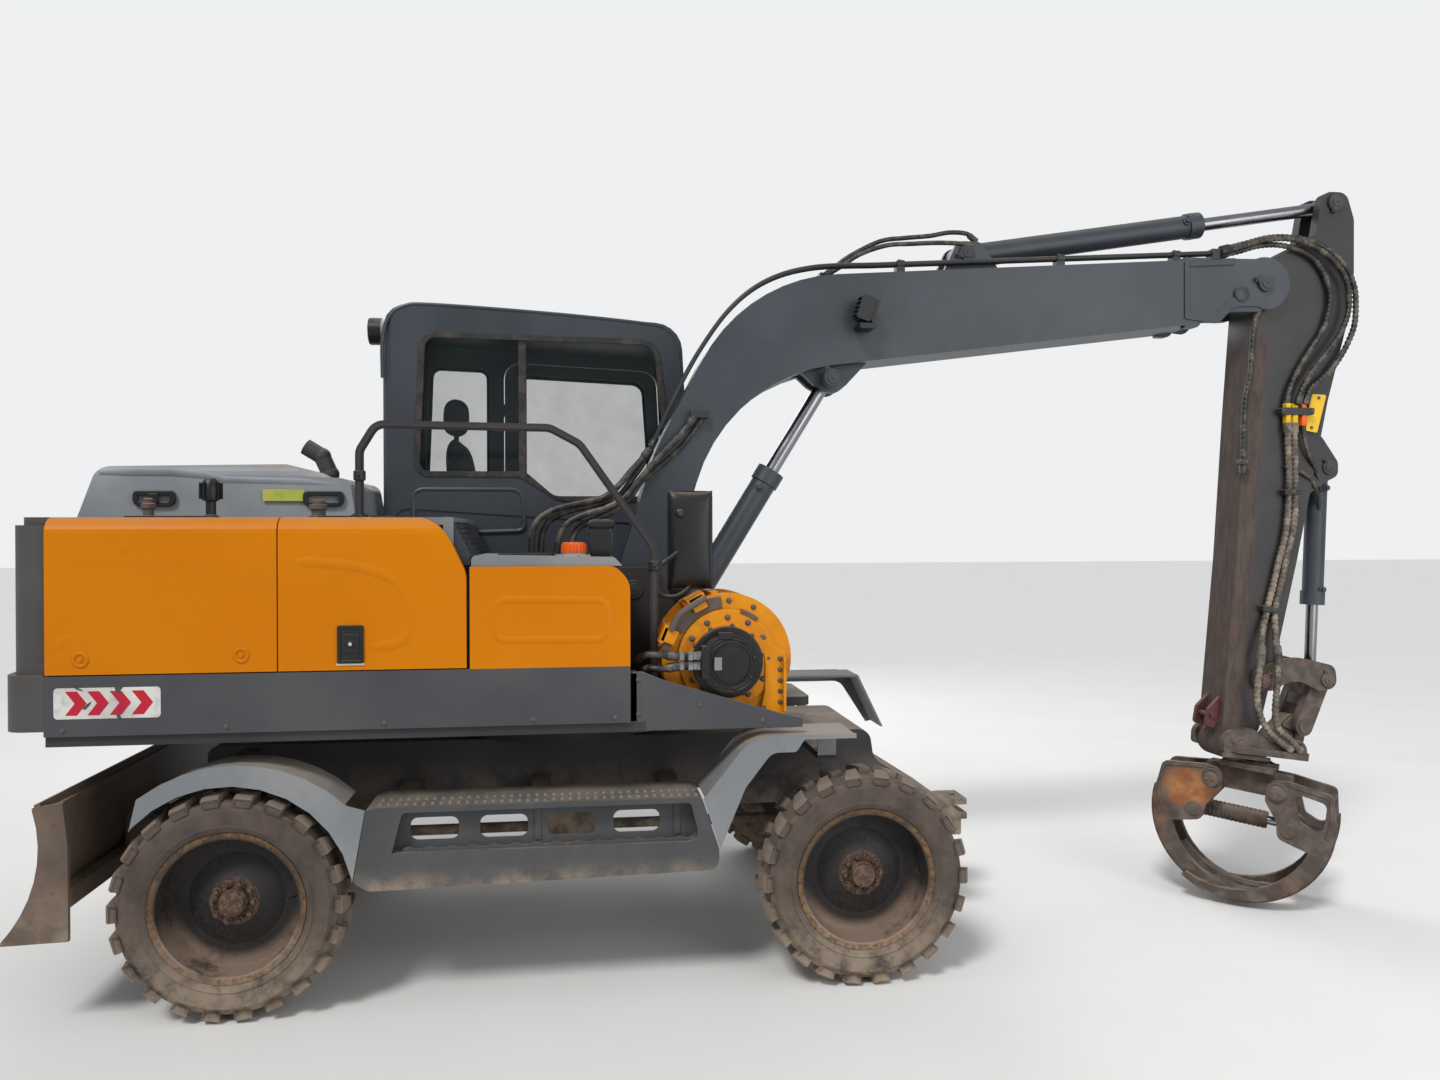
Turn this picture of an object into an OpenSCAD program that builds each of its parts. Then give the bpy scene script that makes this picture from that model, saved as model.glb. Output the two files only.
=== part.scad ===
// Wheeled excavator with a rotating log grapple, a rear dozer blade and a hydraulic winch.
// Millimetres. X points to the front, Y to the left, Z up, with the tyres standing on Z = 0.
// Inside the modules X is measured from the slew axis; placed() moves it to the box centre.

/* [Wheels and axles] */
// Distance between the front and the rear axle
wheelbase = 2490; // [2440:10:2540]
// Outer radius of a tyre over its lugs
tyre_r = 436; // [428:1:442]
// Width of a tyre
tyre_w = 230; // [214:2:236]
// Distance from the centre plane to the middle of a tyre
track_half = 915; // [905:5:935]
// Outer radius of the rim flange
rim_r = 288; // [276:1:296]
// Height of the shoulder lugs
lug_h = 26; // [18:1:32]
// Number of lugs on each shoulder
lug_count = 22; // [20:1:24]
// Distance from the centre plane to a kingpin
kingpin_y = 758; // [750:1:764]
// Radius of a kingpin
kingpin_r = 20; // [16:1:24]
// Radius of the spindle that a wheel turns on
spindle_r = 32; // [26:1:38]
// Distance of the tie rod behind the front axle
steer_arm = 190; // [175:5:200]

/* [Undercarriage] */
// Height of the top of the chassis
chassis_top = 930; // [920:5:940]
// Height of the underside of the chassis over the axles
chassis_low = 600; // [590:5:620]
// Half width of the chassis
chassis_half = 360; // [345:5:375]
// Radius of the slewing ring
slew_r = 430; // [400:5:450]
// Height of the side steps' top edge
step_top = 800; // [790:2:810]
// Half width over the fenders and the steps
body_half = 1027; // [1020:1:1035]
// Height of the flat top of the front fenders
fender_top = 1036; // [1025:1:1040]
// Thickness of fender and step sheet
sheet = 12; // [8:1:16]

/* [Dozer blade] */
// Half width of the blade
blade_half = 1050; // [1035:5:1060]
// Height of the blade's cutting edge
blade_low = 352; // [340:2:370]
// Height of the blade's top edge
blade_high = 866; // [850:2:880]
// Place of the blade pivot along the machine
blade_pivot_x = -1400; // [-1410:2:-1395]
// Height of the blade pivot
blade_pivot_z = 500; // [495:1:505]

/* [Upper structure] */
// Underside of the slewing platform
deck_low = 1060; // [1057:1:1066]
// Top of the slewing platform
deck_high = 1100; // [1090:2:1110]
// Half width of the upper structure
upper_half = 1000; // [985:5:1010]
// Top of the grey skirt band
band_top = 1325; // [1315:1:1335]
// Top of the engine house
house_top = 1920; // [1900:5:1940]
// Rearmost point of the counterweight
tail_x = -2120; // [-2140:5:-2100]
// Front face of the counterweight
tail_front_x = -1896; // [-1905:1:-1890]
// Place of the seam between the two right doors
door_seam_x = -1063; // [-1090:1:-1030]
// Front end of the right doors
door_front_x = -352; // [-370:1:-345]
// Gap around doors and lids
door_gap = 5; // [5:1:7]
// Thickness of a door
door_t = 40; // [30:1:45]
// Top of the tank box
tank_top_z = 1725; // [1710:1:1740]
// Front of the tank box
tank_front_x = 282; // [270:1:295]
// Top of the hood
hood_top = 2160; // [2140:5:2180]

/* [Cab] */
// Rear wall of the cab
cab_rear_x = -850; // [-855:1:-845]
// Inner face side of the cab towards the boom
cab_right_y = 20; // [15:1:30]
// Height of the roof at the rear
cab_top = 2962; // [2940:2:2980]
// Thickness of the cab walls
cab_wall = 40; // [34:1:44]
// Thickness of the window glass
glass_t = 6; // [5:1:8]

/* [Boom] */
// Place of the boom foot pin along the machine
boom_foot_x = 330; // [325:1:335]
// Height of the boom foot pin
boom_foot_z = 1600; // [1595:1:1605]
// Distance of the boom's middle to the right of the centre plane
boom_y = -200; // [-204:1:-196]
// Width of the boom
boom_w = 300; // [290:2:306]
// Place of the arm pin along the machine
arm_pin_x = 3470; // [3466:1:3474]
// Height of the arm pin
arm_pin_z = 3090; // [3086:1:3094]
// Radius of the large pins
pin_r = 30; // [26:1:34]
// Outer radius of the boom cylinder barrel
boom_cyl_r = 60; // [52:1:64]
// Radius of the boom cylinder rod
boom_rod_r = 34; // [28:1:38]

/* [Arm and grapple] */
// Width of the arm
arm_w = 200; // [196:1:204]
// Place of the hanger pin along the machine
hanger_x = 3345; // [3342:1:3348]
// Height of the hanger pin
hanger_z = 794; // [791:1:797]
// Outer radius of the arm cylinder barrel
arm_cyl_r = 57; // [50:1:60]
// Radius of the arm cylinder rod
arm_rod_r = 32; // [26:1:36]
// Outer radius of the tool cylinder barrel
tool_cyl_r = 50; // [44:1:54]
// Radius of the tool cylinder rod
tool_rod_r = 28; // [24:1:32]
// Radius of the closed grapple's bowl
bowl_r = 415; // [406:1:422]
// Thickness of a grapple tine
tine_t = 50; // [44:1:54]
// Tilt of the hanging grapple in degrees
grapple_tilt = 8; // [6:1:10]
// How far the grapple is turned on its rotator, in degrees
grapple_turned = -40; // [-60:5:60]

/* [Hidden] */
$fn = 48;
fit = 0.05;
hub_in = 32;
seat_gap = 0.3;
axle_x = wheelbase / 2;
axle_z = tyre_r;
horn = [3886, 3520];
arm_cyl_base = [1945, 3205];
boom_cyl_base = [550, 1420];
boom_cyl_eye = [1264, 2582];
tool_cyl_base = [3862, 2180];
rocker_pin = [3480, 1110];
link_pin = [3820, 1109];
hanger_lug = [3720, 868];
flange = [3500, 735];
jaw_pivot = [150, -160];
jaw_lug = [220, -330];
bowl_centre = [0, -305];
diff_r = 150;
pinion_x = 168;
blade_cyl_base = [-1400, 860];
blade_cyl_eye = [-1830, 620];
winch = [692, 1333];
front_x = 3990;
shift = -(tail_x + front_x) / 2;

// Helpers

module placed() {
    translate([shift, 0, 0]) children();
}

module box(x, y, z) {
    translate([x[0], y[0], z[0]]) cube([x[1] - x[0], y[1] - y[0], z[1] - z[0]]);
}

// An outline in X and Z, extruded from y[0] to y[1]
module side_plate(points, y) {
    translate([0, y[1], 0]) rotate([90, 0, 0]) linear_extrude(y[1] - y[0]) polygon(points);
}

// An outline in X and Y, extruded from z[0] to z[1]
module plan_plate(points, z) {
    translate([0, 0, z[0]]) linear_extrude(z[1] - z[0]) polygon(points);
}

// An outline in Y and Z, extruded from x[0] to x[1]
module cross_plate(points, x) {
    translate([x[0], 0, 0]) rotate([90, 0, 90]) linear_extrude(x[1] - x[0]) polygon(points);
}

// A round bar along Y at p = [x, z]
module bar_y(p, r, y) {
    translate([p[0], y[0], p[1]]) rotate([-90, 0, 0]) cylinder(r = r, h = y[1] - y[0]);
}

// A round bar from a to b
module bar(a, b, r) {
    d = b - a;
    turn = atan2(d[1], d[0]);
    lean = acos(d[2] / norm(d));
    translate(a) rotate([0, lean, turn]) cylinder(r = r, h = norm(d));
}

// A bent tube through points, with round corners
module tube(points, r) {
    for (i = [0 : len(points) - 2]) bar(points[i], points[i + 1], r);
    for (i = [1 : len(points) - 2]) translate(points[i]) sphere(r * 1.07);
}

function unit(v) = v / norm(v);
function at(p) = [p[0], p[1]];

function corner(p, q, s, n) =
    let (
        a = unit(at(p) - at(q)),
        b = unit(at(s) - at(q)),
        half = acos(a * b) / 2,
        room = 0.48 * min(norm(at(p) - at(q)), norm(at(s) - at(q))),
        r = min(q[2], room * tan(half)),
        reach = r / tan(half),
        c = at(q) + unit(a + b) * r / sin(half),
        t0 = at(q) + a * reach - c,
        t1 = at(q) + b * reach - c,
        from = atan2(t0[1], t0[0]),
        sweep = (atan2(t1[1], t1[0]) - from + 540) % 360 - 180
    )
    [for (i = [0 : n]) c + r * [cos(from + sweep * i / n), sin(from + sweep * i / n)]];

// Outline through rows of [x, y, corner radius]
function outline(rows, n = 5) = [
    for (i = [0 : len(rows) - 1])
        let (q = rows[i])
        each q[2] <= 0 ? [at(q)] :
            corner(rows[(i + len(rows) - 1) % len(rows)], q, rows[(i + 1) % len(rows)], n)
];

// One side of a flat strip of half width w along a path
function strip_side(p, w) = [
    for (i = [0 : len(p) - 1])
        let (
            a = i == 0 ? unit(p[1] - p[0]) : unit(p[i] - p[i - 1]),
            b = i == len(p) - 1 ? a : unit(p[i + 1] - p[i]),
            m = unit(a + b)
        )
        p[i] + [-m[1], m[0]] * w / (m * a)
];

function strip(p, w) =
    let (back = strip_side(p, -w))
    concat(strip_side(p, w), [for (i = [len(back) - 1 : -1 : 0]) back[i]]);

function arc(c, r, a0, a1, n) = [
    for (i = [0 : n])
        let (a = a0 + (a1 - a0) * i / n)
        c + r * [cos(a), sin(a)]
];

// A hydraulic barrel from its pin at a towards b, with its eye and gland
module barrel(a, b, y, r, len, eye_r, eye_w, bore_r) {
    d = unit(b - a);
    turn = atan2(d[1], d[0]);
    translate([a[0], y, a[1]]) rotate([0, -turn, 0]) difference() {
        union() {
            translate([0, -eye_w / 2, 0]) rotate([-90, 0, 0]) cylinder(r = eye_r, h = eye_w);
            translate([eye_r * 0.6, 0, 0]) rotate([0, 90, 0]) cylinder(r = r, h = len - eye_r * 0.6);
            translate([len - 70, 0, 0]) rotate([0, 90, 0]) cylinder(r = r + 8, h = 70);
        }
        translate([0, -eye_w, 0]) rotate([-90, 0, 0]) cylinder(r = bore_r + fit, h = 2 * eye_w);
        translate([len - 60, 0, 0]) rotate([0, 90, 0]) cylinder(r = rod_of(r) + fit, h = 70);
        translate([eye_r + 30, 0, 0]) rotate([0, 90, 0]) cylinder(r = r - 9, h = len - eye_r - 100);
        translate([len - 75, 0, 0]) rotate([0, 90, 0]) cylinder(r = rod_of(r) + fit, h = 20);
    }
}

// The rod that belongs to a barrel of radius r
function rod_of(r) = r == boom_cyl_r ? boom_rod_r : r == arm_cyl_r ? arm_rod_r : tool_rod_r;

// A rod with its eye at b, reaching back towards a
module rod(a, b, y, r, len, eye_r, eye_w, hole_r) {
    d = unit(a - b);
    turn = atan2(d[1], d[0]);
    translate([b[0], y, b[1]]) rotate([0, -turn, 0]) difference() {
        union() {
            translate([0, -eye_w / 2, 0]) rotate([-90, 0, 0]) cylinder(r = eye_r, h = eye_w);
            translate([eye_r * 0.6, 0, 0]) rotate([0, 90, 0]) cylinder(r = r, h = len - eye_r * 0.6);
        }
        translate([0, -eye_w, 0]) rotate([-90, 0, 0]) cylinder(r = hole_r, h = 2 * eye_w);
    }
}

// Wheels

// Half of the tyre's cross section from the bead out, as [radius, distance from the middle]
function tyre_side(crown, shoulder) = [
    [rim_r - 16 + seat_gap, tyre_w / 2 - 25 - 1.2],
    [rim_r + seat_gap, tyre_w / 2 - 19 - 0.6],
    [rim_r + seat_gap, tyre_w / 2 - 11],
    [rim_r + 14, tyre_w / 2 - 5],
    [rim_r + 50, tyre_w / 2],
    [shoulder - 22, tyre_w / 2 - 1],
    [shoulder, tyre_w / 2 - 8],
    [crown, tyre_w / 4]
];

function tyre_section(crown, shoulder) =
    let (side = tyre_side(crown, shoulder))
    concat(side, [for (i = [len(side) - 1 : -1 : 0]) [side[i][0], -side[i][1]]]);

module ring(points) {
    rotate([-90, 0, 0]) rotate_extrude($fn = 72) polygon(points);
}

// The lugs of one shoulder as one toothed disc
module lug_disc(turn, y) {
    step = 360 / lug_count;
    teeth = [
        for (i = [0 : lug_count - 1])
            for (e = [[-0.27, 0], [-0.25, 1], [0.25, 1], [0.27, 0]])
                let (a = turn + (i + e[0]) * step, r = e[1] == 1 ? tyre_r + 9 : tyre_r - lug_h - 12)
                r * [cos(a), sin(a)]
    ];
    translate([0, y[1], 0]) rotate([90, 0, 0]) linear_extrude(y[1] - y[0]) polygon(teeth);
}

module tyre() {
    color("#7d7266") {
        ring(tyre_section(tyre_r - lug_h, tyre_r - lug_h - 8));
        difference() {
            intersection() {
                ring(tyre_section(tyre_r, tyre_r - 6));
                union() {
                    lug_disc(0, [-tyre_w / 2 - 1, -12]);
                    lug_disc(180 / lug_count, [12, tyre_w / 2 + 1]);
                }
            }
            ring([[0, -tyre_w], [tyre_r - lug_h - 10, -tyre_w / 2 - 5],
                [tyre_r - lug_h - 10, tyre_w / 2 + 5], [0, tyre_w]]);
        }
    }
}

// Rim with its disc and hub; the outer side is at negative Y
module rim() {
    half = tyre_w / 2 - 13;
    color("#2c2a28") ring([
        [rim_r, -half - 4], [rim_r, -half + 6], [rim_r - 16, -half + 12], [rim_r - 16, half - 12],
        [rim_r, half - 6], [rim_r, half + 4], [rim_r - 24, half - 4], [rim_r - 28, 52], [180, 46],
        [96, 24], [84, hub_in], [spindle_r + fit, hub_in], [spindle_r + fit, -30], [0, -30], [0, -46],
        [44, -46], [52, -38], [58, -14], [92, -10], [180, 30], [rim_r - 28, 36], [rim_r - 26, -half + 4]
    ]);
    color("#8a5a3c") for (i = [0 : 9])
        rotate([0, 36 * i, 0]) translate([75, -26, 0]) rotate([-90, 0, 0]) cylinder(r = 7, h = 18);
}

// side is -1 on the right and 1 on the left
module at_wheel(x, side) {
    placed() translate([x, side * track_half, axle_z]) mirror([0, side > 0 ? 1 : 0, 0]) children();
}

module tyre_front_right() { at_wheel(axle_x, -1) tyre(); }
module tyre_front_left() { at_wheel(axle_x, 1) tyre(); }
module tyre_rear_right() { at_wheel(-axle_x, -1) tyre(); }
module tyre_rear_left() { at_wheel(-axle_x, 1) tyre(); }
module rim_front_right() { at_wheel(axle_x, -1) rim(); }
module rim_front_left() { at_wheel(axle_x, 1) rim(); }
module rim_rear_right() { at_wheel(-axle_x, -1) rim(); }
module rim_rear_left() { at_wheel(-axle_x, 1) rim(); }

// Axles and steering

module knuckle() {
    reach = track_half - kingpin_y;
    translate([0, 0, -92]) cylinder(r = 58, h = 184);
    translate([0, 0, -128]) cylinder(r = kingpin_r, h = 256);
    rotate([90, 0, 0]) cylinder(r = 52, h = reach - hub_in - seat_gap);
    rotate([90, 0, 0]) cylinder(r = spindle_r, h = reach + 28);
    box([-steer_arm - 30, 0], [-30, 20], [-36, -16]);
}

module knuckle_right() {
    color("#3a3a3a") placed() translate([axle_x, -kingpin_y, axle_z]) knuckle();
}

module knuckle_left() {
    color("#3a3a3a") placed() translate([axle_x, kingpin_y, axle_z]) mirror([0, 1, 0]) knuckle();
}

tie_z = axle_z - 66;

module tie_rod() {
    color("#b8b8b8") placed() {
        bar([axle_x - steer_arm, -kingpin_y + 10, tie_z], [axle_x - steer_arm, kingpin_y - 10, tie_z], 16);
        for (s = [-1, 1])
            translate([axle_x - steer_arm, s * (kingpin_y - 5), tie_z - 16]) cylinder(r = 28, h = 38);
    }
}

// Axle tube of radius r with the bulge of its differential, and the neck that the drive shaft comes in by
module axle_case(half, r) {
    rotate([90, 0, 0]) rotate_extrude() polygon(concat(
        [[0, -half], [r, -half], [r, -190]], arc([0, 0], diff_r, -52, 52, 8),
            [[r, 190], [r, half], [0, half]]
    ));
    bar([60, 0, 0], [pinion_x, 0, 0], 32);
}

module front_axle() {
    color("#34363a") placed() translate([axle_x, 0, axle_z]) difference() {
        union() {
            rotate([0, 0, 180]) axle_case(kingpin_y - 100, 72);
            for (s = [-1, 1]) {
                box([-60, 60], [min(s * (kingpin_y - 118), s * (kingpin_y - 72)),
                    max(s * (kingpin_y - 118), s * (kingpin_y - 72))], [-124, 124]);
                for (z = [-124, 98])
                    translate([0, s * kingpin_y, z]) {
                        cylinder(r = 42, h = 26);
                        box([-36, 36], [min(0, -s * 90), max(0, -s * 90)], [0, 26]);
                    }
                box([-steer_arm + 24, -40], [min(s * 100, s * 130), max(s * 100, s * 130)], [-94, -38]);
            }
            translate([-steer_arm, 0, tie_z - axle_z]) rotate([90, 0, 0]) rotate_extrude()
                polygon([[16 + fit, -190], [31, -190], [31, 190], [16 + fit, 190]]);
            for (y = [[-320, -220], [220, 320]])
                box([-80, 80], y, [40, chassis_low - axle_z]);
        }
        for (s = [-1, 1])
            translate([0, s * kingpin_y, -140]) cylinder(r = kingpin_r + fit, h = 280);
    }
}

module rear_axle() {
    end = track_half - hub_in - seat_gap;
    color("#34363a") placed() translate([-axle_x, 0, axle_z]) {
        axle_case(end, 78);
        for (s = [-1, 1])
            bar([0, s * (end - 20), 0], [0, s * (track_half + 28), 0], spindle_r);
        for (s = [-1, 1])
            box([-80, 80], [min(s * 200, s * 340), max(s * 200, s * 340)], [40, chassis_low - axle_z]);
    }
}

module drive_line() {
    color("#4a4a48") placed() {
        bar([-axle_x + pinion_x + seat_gap, 0, axle_z], [axle_x - pinion_x - seat_gap, 0, axle_z], 25);
        box([-140, 180], [-110, 110], [axle_z - 70, chassis_low + 80]);
    }
}

// Chassis, steps and fenders

module chassis_side(y) {
    side_plate(outline([
        [-1520, chassis_top, 40], [-1520, chassis_low, 40], [-900, chassis_low, 80],
        [-760, chassis_low + 80, 80], [640, chassis_low + 80, 80], [800, chassis_low, 80],
        [1480, chassis_low, 120], [1640, 420, 60], [1890, 413, 10], [1890, 518, 20],
        [1460, 790, 80], [1440, chassis_top, 60]
    ]), y);
}

module chassis_frame() {
    color("#26282b") placed() difference() {
        union() {
            chassis_side([-chassis_half, chassis_half]);
            translate([0, 0, chassis_top - 1]) cylinder(r = slew_r + 50, h = 50, $fn = 96);
            translate([0, 0, chassis_top]) cylinder(r = slew_r, h = deck_low - chassis_top - 20 - seat_gap,
                $fn = 96);
            for (y = [[-355, -325], [-245, -215], [215, 245], [325, 355]]) {
                bar_y([blade_pivot_x, blade_pivot_z], 60, y);
                box([blade_pivot_x - 60, blade_pivot_x + 60], y, [blade_pivot_z, chassis_low + 5]);
            }
            for (s = [-1, 1])
                bar_y([blade_pivot_x, blade_pivot_z], 25, s < 0 ? [-355, -215] : [215, 355]);
            for (x = [-640, -85, 470])
                box([x - 40, x + 40], [-740 + seat_gap, 740 - seat_gap], [700, 770]);
            for (x = [-1330, 1130])
                box([x - 40, x + 40], [-790 + seat_gap, 790 - seat_gap],
                    [chassis_top - 42, chassis_top - 12]);
            box([1880, 2020], [-90, 90], [413, 516]);
        }
        box([-1600, -1330], [-70, 70], [500, 1000]);
        box([1925, 2030], [-100, 100], [445, 485]);
        translate([1975, 0, 400]) cylinder(r = 17, h = 130);
    }
    color("#26282b") placed() bar_y(blade_cyl_base, 20, [-72, 72]);
}

// Side outline of the right or left fender over the rear wheel
rear_fender_c = [-1215, 400];

module rear_fender(side) {
    lip_y = side < 0 ? [-body_half, -body_half + sheet] : [body_half - sheet, body_half];
    skin_y = side < 0 ? [-body_half + sheet / 2, -780] : [780, body_half - sheet / 2];
    side_plate(concat([[-1592, 742]], arc(rear_fender_c, 580, 127, 45, 9), [[-739, 790], [-787, 515]],
        arc([-axle_x, axle_z], 466, 12, 137, 10)), lip_y);
    side_plate(concat([[-1581, 768]], arc(rear_fender_c, 572, 126, 46, 9),
        arc(rear_fender_c, 572 - sheet, 46, 126, 9),
        [[-1570, 768]]), skin_y);
    box([-1350, -1310], side < 0 ? [-802, -790] : [790, 802], [880, 950]);
}

// The right front fender has lost its front half
module front_fender(side, whole) {
    top = fender_top;
    lip_y = side < 0 ? [-body_half, -body_half + sheet] : [body_half - sheet, body_half];
    skin_y = side < 0 ? [-body_half + sheet / 2, -760] : [760, body_half - sheet / 2];
    edge = whole ? [[1690, top, 120], [1838, 728, 0], [1800, 720, 0], [1640, top - 68, 80]]
        : [[1200, top, 0], [1200, top - sheet - 6, 0], [985, top - sheet - 6, 0], [950, top - 68, 20]];
    bend = arc([855, top - 180], 180, 90, 148, 5);
    over = arc([855, top - 180], 178, 90, 147, 5);
    under = arc([855, top - 180], 178 - sheet, 147, 90, 5);
    side_plate(concat([[572, 788]], [for (i = [5 : -1 : 0]) bend[i]], outline(concat([[900, top, 0]], edge,
        [[850, top - 68, 60], [742, 830, 60], [640, 590, 0]]))), lip_y);
    side_plate(concat([[578, 792]], [for (i = [5 : -1 : 0]) over[i]],
        whole ? [[1686, top - 2], [1832, 734], [1818, 734], [1676, top - 2 - sheet]]
            : [[1196, top - 2], [1196, top - 2 - sheet]],
        [for (i = [5 : -1 : 0]) under[i]], [[590, 792]]), skin_y);
    box([1090, 1170], side < 0 ? [-802, -790] : [790, 802], [905, top - 5]);
}

module fenders() {
    color("#6b7074") placed() {
        rear_fender(-1);
        rear_fender(1);
        front_fender(-1, false);
        front_fender(1, true);
    }
}

step_holes = [-485, -217, 48, 307];

module side_step() {
    rows = [
        [-737, step_top - 10, 0], [-700, step_top, 20], [540, step_top, 20], [568, step_top - 10, 0],
        [634, 590, 0], [636, 505, 60], [-727, 480, 60], [-783, 515, 20]
    ];
    inner = [[-700, step_top - 12, 20], [548, step_top - 12, 20], [620, 590, 0], [610, 512, 50],
        [-720, 492, 50]];
    difference() {
        side_plate(outline(rows), [-body_half, -740]);
        side_plate(outline(inner), [-body_half + 80, -700]);
        side_plate(outline([[-640, 622, 0], [560, 622, 40], [520, 778, 20], [-600, 778, 20]]),
            [-body_half - 5, -body_half + 66]);
        box([-690, 590], [-body_half + sheet, -body_half + 70], [500, 610]);
        for (x = step_holes)
            side_plate(outline([[x - 93, 652, 30], [x + 93, 652, 30], [x + 93, 742, 30], [x - 93, 742, 30]]),
                [-body_half, -body_half + 127]);
    }
    side_plate(concat([[540, 616], [-600, 616]], [
        for (i = [0 : 56]) [-600 + 1140 * i / 56, 634 + 7 * sin(i * 90)]
    ]), [-body_half + 22, -body_half + 28]);
    for (x = [-640, -85, 470])
        box([x - 12, x + 12], [-body_half + 60, -740], [640, step_top - 5]);
}

module side_steps() {
    color("#6b7074") placed() {
        side_step();
        mirror([0, 1, 0]) side_step();
    }
}

// Dozer blade

module dozer_blade() {
    c = [-2400, 700];
    face = 515;
    low = asin((blade_low - c[1]) / face);
    high = asin((blade_high - 6 - c[1]) / face);
    color("#33363a") placed() difference() {
        union() {
            side_plate(concat(arc(c, face, low, high, 8), arc(c, face + 22, high, low + 1, 8)),
                [-blade_half + 5, blade_half - 5]);
            for (y = [[-blade_half, -blade_half + 20], [blade_half - 20, blade_half]])
                side_plate(concat([[-1810, blade_high], [-1913, blade_high - 16]],
                    arc([c[0] - 10, c[1]], face, high - 2, low - 1, 8), [[-1793, blade_low], [-1793, 700]]),
                        y);
            box([-1905, -1850], [-blade_half + 5, blade_half - 5], [430, 500]);
            box([-1900, -1865], [-blade_half + 5, blade_half - 5], [blade_high - 60, blade_high - 25]);
            for (y = [[-320, -250], [250, 320]])
                side_plate(outline([
                    [blade_pivot_x + 60, blade_pivot_z - 60, 55],
                        [blade_pivot_x + 60, blade_pivot_z + 56, 55],
                    [-1480, blade_pivot_z + 50, 40], [-1870, 640, 0], [-1880, 420, 0],
                        [-1480, blade_pivot_z - 60, 60]
                ]), y);
            for (y = [[-72, -47], [47, 72]])
                side_plate(outline([
                    [-1893, 700, 0], [-1893, 540, 0], [-1800, 575, 40], [-1785, 660, 40]
                ]), y);
        }
        for (s = [-1, 1])
            bar_y([blade_pivot_x, blade_pivot_z], 25 + fit, s < 0 ? [-330, -240] : [240, 330]);
    }
}

module blade_barrel() {
    color("#3d4145") placed() barrel(blade_cyl_base, blade_cyl_eye, 0, 42, 330, 36, 76, 20);
}

module blade_rod() {
    color("#c8c8c8") placed() rod(blade_cyl_base, blade_cyl_eye, 0, tool_rod_r, 372, 32, 80, 20);
}

// Slewing platform and bodywork

module boom_bracket(y) {
    side_plate(outline([
        [140, deck_high - 5, 0], [720, deck_high - 5, 0], [650, 1400, 90], [520, 1520, 60],
        [boom_foot_x + 110, boom_foot_z + 100, 100], [boom_foot_x - 130, boom_foot_z + 100, 100],
            [140, 1400, 60]
    ]), y);
}

module platform() {
    color("#2f3338") placed() difference() {
        union() {
            plan_plate(outline([
                [tail_front_x + seat_gap, -upper_half + 15, 0], [350, -upper_half + 15, 60], [985, -640, 60],
                [985, -430, 0], [1140, -430, 40], [1140, 30, 40], [640, 60, 0], [640, upper_half - 15, 60],
                [tail_front_x + seat_gap, upper_half - 15, 0]
            ]), [deck_low, deck_high]);
            translate([0, 0, deck_low - 20]) cylinder(r = slew_r - 10, h = 30, $fn = 96);
            boom_bracket([boom_y - boom_w / 2 - 45, boom_y - boom_w / 2 - 5]);
            boom_bracket([boom_y + boom_w / 2 + 5, boom_y + boom_w / 2 + 45]);
            bar_y([boom_foot_x, boom_foot_z], pin_r + 12,
                [boom_y - boom_w / 2 - 45, boom_y - boom_w / 2 - 5]);
            for (s = [[-boom_cyl_r - 30, -boom_cyl_r - 6], [boom_cyl_r + 6, boom_cyl_r + 30]])
                side_plate(outline([
                    [420, deck_high - 5, 0], [700, deck_high - 5, 0], [610, 1450, 50], [500, 1480, 50]
                ]), [boom_y + s[0], boom_y + s[1]]);
        }
    }
    color("#8c8c8c") placed() {
        bar_y([boom_foot_x, boom_foot_z], pin_r, [boom_y - boom_w / 2 - 50, boom_y + boom_w / 2 + 50]);
        bar_y(boom_cyl_base, pin_r, [boom_y - boom_cyl_r - 35, boom_y + boom_cyl_r + 35]);
    }
}

function tail_rows(in, front) = [
    [front, -upper_half + in, 0], [tail_x + 85 + in, -upper_half + in, 90], [tail_x + in, -500, 900],
    [tail_x + in, 500, 900], [tail_x + 85 + in, upper_half - in, 90], [front, upper_half - in, 0]
];

module counterweight() {
    color("#3a4148") placed() {
        plan_plate(outline(tail_rows(0, tail_front_x)), [deck_high + 20, band_top + 5]);
        plan_plate(outline(tail_rows(22, tail_front_x)), [band_top + 4, house_top - 30]);
        plan_plate(outline(tail_rows(45, tail_front_x)), [house_top - 31, house_top]);
    }
}

module side_skirts() {
    color("#454a50") placed() for (s = [-1, 1])
        difference() {
            box([tail_front_x + seat_gap, s < 0 ? tank_front_x : cab_rear_x - 6],
                s < 0 ? [-upper_half, -upper_half + 60] : [upper_half - 60, upper_half],
                    [deck_high, band_top]);
            box([tail_front_x + 20, (s < 0 ? tank_front_x : cab_rear_x - 6) - 16],
                s < 0 ? [-upper_half + 20, -upper_half + 70] : [upper_half - 70, upper_half - 20],
                [deck_high + 20, band_top - 16]);
        }
}

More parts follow.
